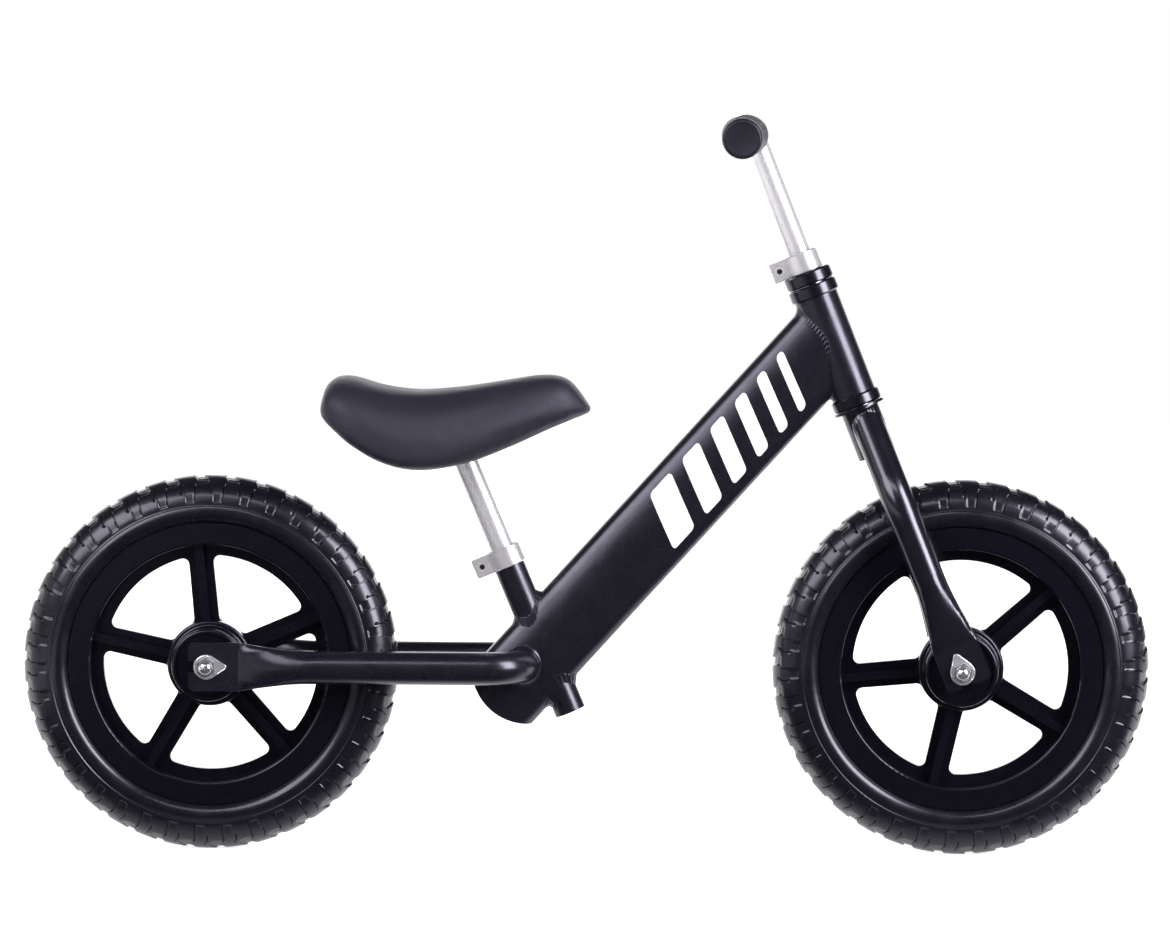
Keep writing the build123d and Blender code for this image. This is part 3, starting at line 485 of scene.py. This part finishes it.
# Draws the first and last section in to their middles
def closedEnds(points):
    tail = points[:1].mean(axis=1, keepdims=True) * np.ones_like(points[:1])
    nose = points[-1:].mean(axis=1, keepdims=True) * np.ones_like(points[-1:])
    return np.concatenate([tail, points, nose])


def seatPiece():
    piece = gridPiece("seat_cushion", closedEnds(seatSurface()), closeV=True)
    bpy.context.view_layer.objects.active = piece
    remesh = piece.modifiers.new("even", "REMESH")
    remesh.voxel_size = seat["voxel"]
    bpy.ops.object.modifier_apply(modifier=remesh.name)
    swell(piece)
    smooth = piece.modifiers.new("relax", "SMOOTH")
    smooth.factor = seat["relaxFactor"]
    smooth.iterations = seat["relaxSteps"]
    bpy.ops.object.modifier_apply(modifier=smooth.name)
    finer = piece.modifiers.new("finer", "SUBSURF")
    finer.levels = finer.render_levels = 1
    bpy.ops.object.modifier_apply(modifier=finer.name)
    piece.data.shade_smooth()
    return piece


# Cloth under inner pressure, each point held within moveCap of where it started
def swell(piece):
    count = len(piece.data.vertices)
    start = np.zeros(count * 3, np.float32)
    piece.data.vertices.foreach_get("co", start)
    cloth = piece.modifiers.new("swell", "CLOTH")
    cloth.settings.quality = seat["quality"]
    cloth.settings.use_pressure = True
    cloth.settings.uniform_pressure_force = seat["pressure"]
    cloth.settings.effector_weights.gravity = 0
    cloth.collision_settings.use_collision = False
    cloth.point_cache.frame_start, cloth.point_cache.frame_end = 1, seat["frames"]
    scene = bpy.context.scene
    for step in range(1, seat["frames"] + 1):
        scene.frame_set(step)
    swelled = piece.evaluated_get(bpy.context.evaluated_depsgraph_get()).to_mesh()
    moved = np.zeros(count * 3, np.float32)
    swelled.vertices.foreach_get("co", moved)
    piece.modifiers.remove(cloth)
    scene.frame_set(1)
    shift = (moved - start).reshape(-1, 3)
    far = np.linalg.norm(shift, axis=1, keepdims=True)
    shift *= np.minimum(1, seat["moveCap"] / np.maximum(far, 1e-9))
    piece.data.vertices.foreach_set("co", (start + shift.ravel()).astype(np.float32))
    piece.data.update()
    print("seat swelled by up to", round(float(far.max()) * 1000, 2), "mm before the cap")


cushion = dress(seatPiece(), "seat", "seat_cover", finishes["seat_cover"], "seat_pad")
print("seat", len(cushion.data.polygons), "faces")

# Grips: ribbed sleeves with a rounded flat end and a small inner flange
grip = {
    "radius": 0.0140,
    "ribHeight": 0.0006,
    "ribs": 26,
    "ribSpan": (0.0125, 0.083),
    # distance along and radius, from the middle of the end face to the ribs, and from the ribs to the bore
    "end": ((-0.0030, 0.0), (-0.0030, 0.0120), (-0.0032, 0.0126), (-0.0028, 0.0136), (-0.0018, 0.0145),
            (-0.0004, 0.0149), (0.0014, 0.0151), (0.0060, 0.0151), (0.0080, 0.0147), (0.0105, 0.0141)),
    "flange": ((0.0850, 0.0141), (0.0868, 0.0143), (0.0886, 0.0148), (0.0900, 0.0150), (0.0945, 0.0150),
               (0.0960, 0.0148), (0.0965, 0.0140), (0.0965, 0.00955), (0.004, 0.00955)),
    "sweep": np.radians(3.2),
    "tip": 0.2,
    "barEnd": 0.195,  # points of the crossbar past this give the grip's axis
    "steps": 72,
    "sharpAngle": 55,
}


# Ribs: radius + height * |sin(ribs * pi * share of the span)|
def gripProfile():
    along = np.linspace(*grip["ribSpan"], grip["ribs"] * 8 + 1)
    wave = np.abs(np.sin(np.pi * grip["ribs"] * (along - along[0]) / np.ptp(along)))
    ribs = np.stack([along, grip["radius"] + grip["ribHeight"] * wave], -1)
    return np.vstack([grip["end"], ribs, grip["flange"]])


crossbarPoints = nodePoints("handlebar_crossbar")
for side, sign in (("right", -1), ("left", 1)):
    outer = crossbarPoints[crossbarPoints[:, 1] * sign > grip["barEnd"]].mean(axis=0)
    inward = -sign * np.cos(grip["sweep"]) * acrossBike + np.sin(grip["sweep"]) * steerAhead
    tip = outer + inward * ((sign * grip["tip"] - outer[1]) / inward[1])
    piece = turned(f"{side}_ribbed_grip", tip, inward, gripProfile(), grip["steps"],
                   sharpAngle=grip["sharpAngle"])
    dress(piece, "handlebar", "grip_rubber", finishes["grip_rubber"], f"{side}_grip")
print("grips on the crossbar")

# Where the tubes meet: lines that the weld fillets follow
mainTube = {"halfHeight": 0.03175, "halfWidth": 0.016, "edge": 0.0125, "footX": -0.042, "meetLevel": 0.274}
mainFoot = np.array([mainTube["footX"], 0, rearAxle[2]])
mainUp = unit(frontAxle + mainTube["meetLevel"] * steerUp - mainFoot)
mainTop = np.array([-mainUp[2], 0, mainUp[0]])
edgeCentre = mainTube["halfHeight"] - mainTube["edge"]
sideReach = ((mainTube["halfWidth"] ** 2 + edgeCentre**2 - mainTube["edge"] ** 2)
             / (2 * (mainTube["halfWidth"] - mainTube["edge"])))
edgeTouch = edgeCentre * (1 + mainTube["edge"] / (sideReach - mainTube["edge"]))


# Half width of the main tube's oval at a height across it: a wide arc, then the tight edge arc
def mainSide(height):
    height = np.abs(height)
    wide = np.sqrt(np.maximum(sideReach**2 - height**2, 0)) - (sideReach - mainTube["halfWidth"])
    tight = np.sqrt(np.maximum(mainTube["edge"] ** 2 - np.maximum(height - edgeCentre, 0) ** 2, 0))
    return np.where(height < edgeTouch, wide, tight)


# Height of the oval at a half width, and the oval's outward normal as (height, width) at a point of it
def mainHeight(width):
    width = np.abs(width)
    tight = edgeCentre + np.sqrt(np.maximum(mainTube["edge"] ** 2 - width**2, 0))
    wide = np.sqrt(np.maximum(sideReach**2 - (width + sideReach - mainTube["halfWidth"]) ** 2, 0))
    return np.where(width < mainSide(edgeTouch), tight, wide)


def mainNormal(height, width):
    tight = np.stack([height - np.sign(height) * edgeCentre, width], -1)
    wide = np.stack([height, width + np.sign(width) * (sideReach - mainTube["halfWidth"])], -1)
    return unit(np.where((np.abs(height) > edgeTouch)[:, None], tight, wide))


fillet = {"steps": 9, "bend": 0.3, "ripplePower": 0.7, "sunk": 0.0001, "inside": 0.0012}


# Fillet between two tubes: a hollow curve from one line to the other, bent towards the corner between them,
# point = (1-t)^2 first + 2t(1-t) bend + t^2 second, with a ripple on its middle, and closed inside the metal
def filletPiece(name, first, corner, second, outward, ripple, phase):
    t = np.linspace(0, 1, fillet["steps"])[None, :, None]
    bend = corner + fillet["bend"] * ((first + second) / 2 - corner)
    face = (1 - t) ** 2 * first[:, None] + 2 * t * (1 - t) * bend[:, None] + t**2 * second[:, None]
    wave = ripple * np.abs(np.sin(phase)) ** fillet["ripplePower"]
    lift = wave[:, None] * np.sin(np.pi * t[0, :, 0])[None, :] - fillet["sunk"]
    face = face + lift[..., None] * outward[:, None]
    inside = (corner - fillet["inside"] * outward)[:, None]
    return gridPiece(name, np.concatenate([face, inside], axis=1), closeU=True, closeV=True)


# Weld where the main tube meets the back of the head tube: smooth on top, rippled down both flanks
def headWeld(weld):
    turn = loop(600)
    height = mainTube["halfHeight"] * np.cos(turn) * 0.9999
    width = mainSide(height) * np.sign(np.sin(turn))
    normal = mainNormal(height, width)

    def onHead(h, w):
        back = -np.sqrt(weld["headRadius"] ** 2 - w**2)
        gap = back - (mainFoot - frontAxle) @ steerAhead - h * (mainTop @ steerAhead)
        along = gap / (mainUp @ steerAhead)
        return mainFoot + along[:, None] * mainUp + h[:, None] * mainTop + w[:, None] * acrossBike

    corner = onHead(height, width)
    widened = np.clip(width + weld["widen"] * normal[:, 1], -weld["widest"], weld["widest"])
    first = onHead(height + weld["rise"] * normal[:, 0], widened)
    low, high = weld["lap"]
    reach = low + (high - low) * ramp(height, *weld["lapHeights"])
    second = corner - reach[:, None] * mainUp
    outward = normal[:, :1] * mainTop + normal[:, 1:] * acrossBike
    ripple = weld["ripple"] * ramp(-np.abs(height - weld["rippleMiddle"]), *weld["rippleEdge"])
    return filletPiece("head_weld", first, corner, second, outward, ripple, turn * weld["drops"] / 2)


# Weld round the seat tube where it passes through the main tube's top edge (face 1) or bottom edge (face -1)
def seatWeld(name, face, weld):
    turn = loop(240)
    spokes = circle(turn, seatAhead, acrossBike)

    def onMain(reach):
        start = weld["foot"] + reach[:, None] * spokes
        climb = (face * mainHeight(start[:, 1]) - (start - mainFoot) @ mainTop) / (seatUp @ mainTop)
        return start + climb[:, None] * seatUp

    corner = onMain(np.full(len(turn), weld["radius"]))
    lift = weld["rise"] * (1 + 0.15 * np.sin(3 * turn + 1) + 0.1 * np.sin(7 * turn))
    first = corner + face * lift[:, None] * seatUp
    low, high = weld["lap"]
    second = onMain(weld["radius"] + low + (high - low) * np.cos(turn) ** 2)
    outward = unit(spokes + 0.6 * face * seatUp)
    low, high = weld["ripple"]
    ripple = low + (high - low) * ramp(np.cos(turn), 0, 0.8)
    return filletPiece(name, first, corner, second, outward, ripple, turn * weld["drops"] / 2)


# Rough weld where a fork leg, slanting inwards, meets the crown's side
def crownWeld(name, sign, weld):
    turn = loop(220)
    down = sign * np.sin(weld["slant"]) * acrossBike - np.cos(weld["slant"]) * steerUp
    spokes = circle(turn, steerAhead, np.cross(steerAhead, down))

    def onCrown(radius):
        start = frontAxle + weld["top"] * steerUp + weld["offset"] * steerAhead + radius * spokes
        aheadBy = weld["offset"] + radius * np.cos(turn)
        goal = sign * np.sqrt(weld["crown"] ** 2 - aheadBy**2)
        return start + ((goal - start[:, 1]) / down[1])[:, None] * down

    corner = onCrown(weld["radius"])
    first = onCrown(weld["radius"] + weld["widen"])
    low, high = weld["lap"]
    lap = low + (high - low) * np.cos(turn) ** 4 + weld["lapWave"] * np.sin(5 * turn)
    second = corner + lap[:, None] * down
    outward = unit(spokes + 0.5 * sign * acrossBike)
    rough = weld["ripple"] * (0.6 + 0.4 * np.sin(4 * turn + 0.7) * np.sin(9 * turn))
    return filletPiece(name, first, corner, second, outward, rough, turn * weld["drops"] / 2)


# Smooth collar where a stay turns into the main tube's flank
def stayCollar(name, sign, weld):
    turn = loop(160)
    spokes = circle(turn, np.array([1.0, 0, 0]), np.array([0, 0, 1.0]))

    def onFlank(reach):
        around = weld["entry"] + reach * spokes
        return around + sign * mainSide((around - mainFoot) @ mainTop)[:, None] * acrossBike

    corner = onFlank(weld["radius"])
    first = corner + sign * weld["rise"] * acrossBike - weld["sunk"] * spokes
    outward = unit(spokes + sign * acrossBike)
    low, high = weld["lap"]
    foot = onFlank((weld["radius"] + low + (high - low) * np.sin(turn) ** 2)[:, None])
    ripple = np.full(len(turn), weld["ripple"])
    return filletPiece(name, first, corner, foot, outward, ripple, turn * weld["drops"] / 2)


# Weld round the stem's top, under the crossbar
def barWeld(weld):
    turn = loop(160)

    def underBar(radius):
        aheadBy = 0.98 * weld["radius"] * np.cos(turn)
        drop = np.sqrt(weld["radius"] ** 2 - aheadBy**2)
        acrossBy = radius * np.sin(turn)
        return (frontAxle + aheadBy[:, None] * steerAhead + acrossBy[:, None] * acrossBike
                + (weld["level"] - drop)[:, None] * steerUp)

    corner = underBar(weld["radius"])
    first = underBar(weld["radius"] + weld["lap"])
    second = corner - weld["lap"] * steerUp
    outward = unit(circle(turn, steerAhead, acrossBike) - 0.5 * steerUp)
    ripple = np.full(len(turn), weld["ripple"])
    return filletPiece("bar_weld", first, corner, second, outward, ripple, turn * weld["drops"] / 2)


# rise is up one tube, lap along the other, ripple the height of the weld's drops
legSlant = np.radians(30.9)
seatFoot = np.array([-0.0112, 0, 0.1083])
welds = {
    "head": {"headRadius": 0.017, "rise": 0.004, "widen": 0.0007, "widest": 0.0168, "lap": (0.0032, 0.0060),
             "lapHeights": (0.012, 0.030), "ripple": 0.0005, "rippleMiddle": 0.006,
             "rippleEdge": (-0.021, -0.012), "drops": 62},
    "seatTop": {"foot": seatFoot, "radius": 0.012, "rise": 0.0045, "lap": (0.0012, 0.0042),
                "ripple": (0.0003, 0.0007), "drops": 22},
    "seatStub": {"foot": seatFoot, "radius": 0.012, "rise": 0.0050, "lap": (0.0012, 0.0045),
                 "ripple": (0.0003, 0.0007), "drops": 22},
    # top is where the leg's line meets the steering axis
    "crown": {"radius": 0.0124, "offset": 0.0018, "slant": legSlant, "crown": 0.0150,
              "top": 0.141 + 0.043 / np.tan(legSlant), "widen": 0.0007, "lap": (0.0030, 0.0140),
              "lapWave": 0.0006, "ripple": 0.0007, "drops": 26},
    "stay": {"entry": np.array([-0.048, 0, rearAxle[2]]), "radius": 0.0127, "rise": 0.0040, "sunk": 0.0002,
             "lap": (0.0022, 0.0040), "ripple": 0.00015, "drops": 18},
    "bar": {"level": 0.442, "radius": 0.0095, "lap": 0.0022, "ripple": 0.00025, "drops": 20},
}
framePaint, forkPaint = finishes["frame_paint"], finishes["fork_paint"]
dress(headWeld(welds["head"]), "frame", "frame_paint", framePaint)
dress(seatWeld("seat_tube_top_weld", 1, welds["seatTop"]), "frame", "frame_paint", framePaint)
dress(seatWeld("seat_tube_stub_weld", -1, welds["seatStub"]), "frame", "frame_paint", framePaint)
for side, sign in (("right", -1), ("left", 1)):
    dress(stayCollar(f"{side}_stay_collar", sign, welds["stay"]), "frame", "frame_paint", framePaint)
    dress(crownWeld(f"{side}_crown_weld", sign, welds["crown"]), "fork", "fork_paint", forkPaint)
dress(barWeld(welds["bar"]), "handlebar", "tube_alloy", finishes["tube_alloy"])
print("welds on the frame, fork and bar")

# Painted shade: a near-black disc a little under the face of each bolt head stands for the shade at the bottom of
# its socket
socket = {
    "sunk": 0.0006,
    "profile": ((0, 0), (0, 0.0017), (0.0004, 0.00195), (0.0016, 0.00195), (0.0016, 0)),
    "steps": 24,
    "sharpAngle": 40,
}
# painted shade: near-black finish for the socket discs, much darker than the bolt's own steel
paintedSocketShade = metalFinish("socketShadeBlack", (0.010, 0.010, 0.011), (0.016, 0.016, 0.017), gloss=0.5, bloom=0.5)
for node, body in (("seat_clamp_bolt", "frame"), ("handlebar_clamp_bolt", "fork")):
    low, high = nodePoints(node).min(axis=0), nodePoints(node).max(axis=0)
    face = np.array([(low[0] + high[0]) / 2, low[1] + socket["sunk"], (low[2] + high[2]) / 2])
    piece = turned(f"{node}_socket", face, acrossBike, socket["profile"], socket["steps"],
                   sharpAngle=socket["sharpAngle"])
    dress(piece, body, "bolt_steel", paintedSocketShade)
print("sockets in the clamp bolts")

# Rounded rims of the teardrop washers: a bead along the outline of a large circle and a small one at the tip,
# point = circle's centre + (circle's radius + bead's reach) * direction(turn), about the tip where it leads
washer = {"radius": 0.0094, "tipRadius": 0.0024, "tipCentre": 0.0130, "bead": 0.0005, "inset": 0.0004,
          "steps": 144, "beadSteps": 10}


def washerRim(name, axle, face, tipWay):
    sideWay = np.cross(tipWay, acrossBike)
    turn = loop(washer["steps"])[:, None]
    beadTurn = loop(washer["beadSteps"])[None, :]
    atTip = np.cos(turn) > (washer["radius"] - washer["tipRadius"]) / washer["tipCentre"]
    reach = np.where(atTip, washer["tipRadius"], washer["radius"]) - washer["inset"]
    reach = reach + washer["bead"] * np.cos(beadTurn)
    along = np.where(atTip, washer["tipCentre"], 0.0) + reach * np.cos(turn)
    aside = reach * np.sin(turn)
    out = face + np.sign(face) * washer["bead"] * np.sin(beadTurn)
    centre = np.array([axle[0], 0, axle[2]])
    points = (centre + along[..., None] * tipWay + aside[..., None] * sideWay
              + np.broadcast_to(out, along.shape)[..., None] * acrossBike)
    return gridPiece(name, points, closeU=True, closeV=True)


wheelEnds = (("rear", "frame", rearAxle, np.array([1.0, 0, 0])), ("front", "fork", frontAxle, steerUp))
for end, body, axle, tipWay in wheelEnds:
    low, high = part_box(f"{end}_tab_washers")
    for side, face in (("right", low[1]), ("left", high[1])):
        rim = washerRim(f"{end}_{side}_washer_rim", axle, face, tipWay)
        dress(rim, body, "washer_steel", finishes["washer_steel"])
print("rims on the washers")

# Plain slanted bars on both flanks of the main tube, each narrower than the last
bars = {
    "start": 0.150,
    "count": 6,
    "firstWidth": 0.024,
    "narrowing": 0.80,
    "gap": 0.0125,
    "halfHeight": 0.0215,
    "slant": np.radians(24.0),
    "corner": 0.0035,
    "film": 0.00012,
    "shades": ((0.77, 0.77, 0.77), (0.83, 0.83, 0.83)),
}


# Rounded bar on the tube's flank: a rounded rectangle, slanted, then wrapped on the oval
def barPiece(name, start, width, sign):
    corner = min(bars["corner"], 0.45 * width)
    height = bars["halfHeight"] * np.sin(np.linspace(-np.pi / 2, np.pi / 2, 33))[:, None]
    rounding = np.maximum(np.abs(height) - (bars["halfHeight"] - corner), 0)
    halfWidth = width / 2 - corner + np.sqrt(np.maximum(corner**2 - rounding**2, 0))
    along = start + width / 2 + halfWidth * np.linspace(-1, 1, 9)[None, :]
    along = along + height * np.tan(bars["slant"])
    height = np.broadcast_to(height, along.shape)
    out = mainSide(height) + bars["film"]
    points = (mainFoot + along[..., None] * mainUp + height[..., None] * mainTop
              + sign * out[..., None] * acrossBike)
    return gridPiece(name, points)


whiteFilm, filmShader = startFinish("whiteFilm", (0.80, 0.80, 0.80), 0.35)
filmClouds = noise(whiteFilm, objectPlace(whiteFilm), scale=40)
tint(whiteFilm, filmShader, filmClouds, *bars["shades"])
for side, sign in (("right", -1), ("left", 1)):
    start, width = bars["start"], bars["firstWidth"]
    for number in range(bars["count"]):
        piece = barPiece(f"{side}_bar_{number + 1}", start, width, sign)
        piece.data.materials.append(whiteFilm)
        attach(piece, "frame")
        start += width + bars["gap"]
        width *= bars["narrowing"]
print("bars on the main tube")

# Studio: white floor and surround, soft boxes at both sides, a wide one behind, a narrow one over the camera
studio = {
    # backdrop to rays other than the camera's: the way to its bright side, where that begins, where it fades
    "brightWay": (-0.55, 0.83, 0),
    "brightTurn": (0.1, 0.5),
    "behind": 1.0,
    "before": 0.02,
    "fadeHeights": (0.2, 0.5),
    "above": 0.08,
    "floorReach": 6.0,
    "floorColor": (0.80, 0.80, 0.80),
    # glow near the bike and far off, and the distances between which it changes
    "floorGlow": (0.82, 1.10),
    "glowReach": (0.5, 1.8),
    # how much of the floor in front of the bike mirrors lose, and the share of that past its tail
    "frontEdge": (-0.10, 0.06),
    "frontLoss": 0.95,
    "tailEdge": (-0.95, -0.55),
    "tailShare": 0.5,
    "lampColor": (0.985, 0.96, 1.0),
    "lamps": (
        # name, place, aim, width, height, watts
        ("leftSoftBox", (-1.69, -1.69, 1.57), (0, 0, 0.3), 1.9, 1.4, 50),
        ("rightSoftBox", (1.93, -1.40, 1.30), (0, 0, 0.3), 1.15, 2.0, 108),
        ("stripLamp", (-0.25, -2.1, 2.1), (0, 0, 0.3), 1.2, 0.35, 7),
        ("rearSoftBox", (-0.3, 2.4, 0.9), (0, 0, 0.3), 3.4, 1.8, 30),
    ),
    "cameraPlace": (0.10, -4.4, 0.58),
    "cameraAim": (-0.0009, 0.0, 0.2965),
    "frameWidth": 0.9024,
    "sensor": 36.0,
    "roll": 0.3,
}


def combine(tree, operation, first, second):
    sums = tree.nodes.new("ShaderNodeMath")
    sums.operation = operation
    tree.links.new(first, sums.inputs[0])
    tree.links.new(second, sums.inputs[1])
    return sums.outputs[0]


# 1 for the kinds of ray named, 0 for the others
def rayKinds(tree, kinds):
    rays = tree.nodes.new("ShaderNodeLightPath")
    seen = rays.outputs[kinds[0]]
    for kind in kinds[1:]:
        seen = combine(tree, "MAXIMUM", seen, rays.outputs[kind])
    return seen


def mapRange(tree, value, fromLow, fromHigh, toLow, toHigh):
    fade = tree.nodes.new("ShaderNodeMapRange")
    fade.interpolation_type = "SMOOTHSTEP"
    for key, amount in (("From Min", fromLow), ("From Max", fromHigh), ("To Min", toLow), ("To Max", toHigh)):
        fade.inputs[key].default_value = amount
    tree.links.new(value, fade.inputs["Value"])
    return fade.outputs["Result"]


# White backdrop: full strength to the camera. Other rays find it white behind the bike and at its tail, as
# far up as fadeHeights, and dim above, before and ahead of the bike.
def skyStrength(tree):
    place = tree.nodes.new("ShaderNodeTexCoord")
    parts = tree.nodes.new("ShaderNodeSeparateXYZ")
    tree.links.new(place.outputs["Generated"], parts.inputs["Vector"])
    facing = tree.nodes.new("ShaderNodeVectorMath")
    facing.operation = "DOT_PRODUCT"
    tree.links.new(place.outputs["Generated"], facing.inputs[0])
    facing.inputs[1].default_value = studio["brightWay"]
    depth = mapRange(tree, facing.outputs["Value"], *studio["brightTurn"], studio["before"], studio["behind"])
    height = mapRange(tree, parts.outputs["Z"], *studio["fadeHeights"], 1.0, studio["above"])
    choose = tree.nodes.new("ShaderNodeMix")
    tree.links.new(rayKinds(tree, ["Is Camera Ray", "Is Transmission Ray"]), choose.inputs["Factor"])
    tree.links.new(combine(tree, "MULTIPLY", depth, height), choose.inputs["A"])
    choose.inputs["B"].default_value = 1.0
    return choose.outputs["Result"]


# White floor: it glows to the camera and to mirrors, but mirrors find it dim in front of the bike
def floorFinish():
    paint, shader = startFinish("floorWhite", studio["floorColor"], 0.9)
    tree = paint.node_tree
    shader.inputs["Specular IOR Level"].default_value = 0.0
    shader.inputs["Emission Color"].default_value = (1, 1, 1, 1)
    place = tree.nodes.new("ShaderNodeTexCoord")
    parts = tree.nodes.new("ShaderNodeSeparateXYZ")
    tree.links.new(place.outputs["Object"], parts.inputs["Vector"])
    front = mapRange(tree, parts.outputs["Y"], *studio["frontEdge"], studio["frontLoss"], 0.0)
    tail = mapRange(tree, parts.outputs["X"], *studio["tailEdge"], studio["tailShare"], 1.0)
    front = combine(tree, "MULTIPLY", front, tail)
    dimmed = combine(tree, "MULTIPLY", front, rayKinds(tree, ["Is Glossy Ray"]))
    lit = mapRange(tree, dimmed, 0.0, 1.0, 1.0, 0.0)
    shown = rayKinds(tree, ["Is Camera Ray", "Is Glossy Ray", "Is Transmission Ray"])
    away = tree.nodes.new("ShaderNodeVectorMath")
    away.operation = "LENGTH"
    tree.links.new(place.outputs["Object"], away.inputs[0])
    glow = mapRange(tree, away.outputs["Value"], *studio["glowReach"], *studio["floorGlow"])
    glow = combine(tree, "MULTIPLY", glow, combine(tree, "MULTIPLY", shown, lit))
    tree.links.new(glow, shader.inputs["Emission Strength"])
    shade = addNode(paint, "ShaderNodeMix", data_type="RGBA")
    shade.inputs["A"].default_value = (0, 0, 0, 1)
    shade.inputs["B"].default_value = (*studio["floorColor"], 1)
    tree.links.new(lit, shade.inputs["Factor"])
    tree.links.new(shade.outputs["Result"], shader.inputs["Base Color"])
    return paint


def setStudio():
    scene = bpy.context.scene
    world = bpy.data.worlds.new("paleStudio")
    world.use_nodes = True
    scene.world = world
    sky = world.node_tree.nodes["Background"]
    sky.inputs["Color"].default_value = (1, 1, 1, 1)
    world.node_tree.links.new(skyStrength(world.node_tree), sky.inputs["Strength"])
    floorMesh = bpy.data.meshes.new("floor")
    reach = studio["floorReach"]
    floorCorners = [(-reach, -reach, 0), (reach, -reach, 0), (reach, reach, 0), (-reach, reach, 0)]
    floorMesh.from_pydata(floorCorners, [], [(0, 1, 2, 3)])
    floor = bpy.data.objects.new("floor", floorMesh)
    scene.collection.objects.link(floor)
    floorMesh.materials.append(floorFinish())
    for name, place, aim, width, height, watts in studio["lamps"]:
        lamp = bpy.data.lights.new(name, "AREA")
        lamp.shape = "RECTANGLE"
        lamp.size, lamp.size_y, lamp.energy = width, height, watts
        lamp.color = studio["lampColor"]
        box = bpy.data.objects.new(name, lamp)
        box.location = place
        box.rotation_euler = (Vector(aim) - Vector(place)).to_track_quat("-Z", "Y").to_euler()
        scene.collection.objects.link(box)
    eye = bpy.data.objects.new("camera", bpy.data.cameras.new("camera"))
    place, aim = Vector(studio["cameraPlace"]), Vector(studio["cameraAim"])
    eye.location = place
    look = (aim - place).to_track_quat("-Z", "Y") @ Quaternion((0, 0, 1), np.radians(studio["roll"]))
    eye.rotation_euler = look.to_euler()
    eye.data.sensor_width = studio["sensor"]
    eye.data.lens = studio["sensor"] * (aim - place).length / studio["frameWidth"]
    scene.collection.objects.link(eye)
    scene.camera = eye
    scene.view_settings.view_transform = "Standard"


setStudio()
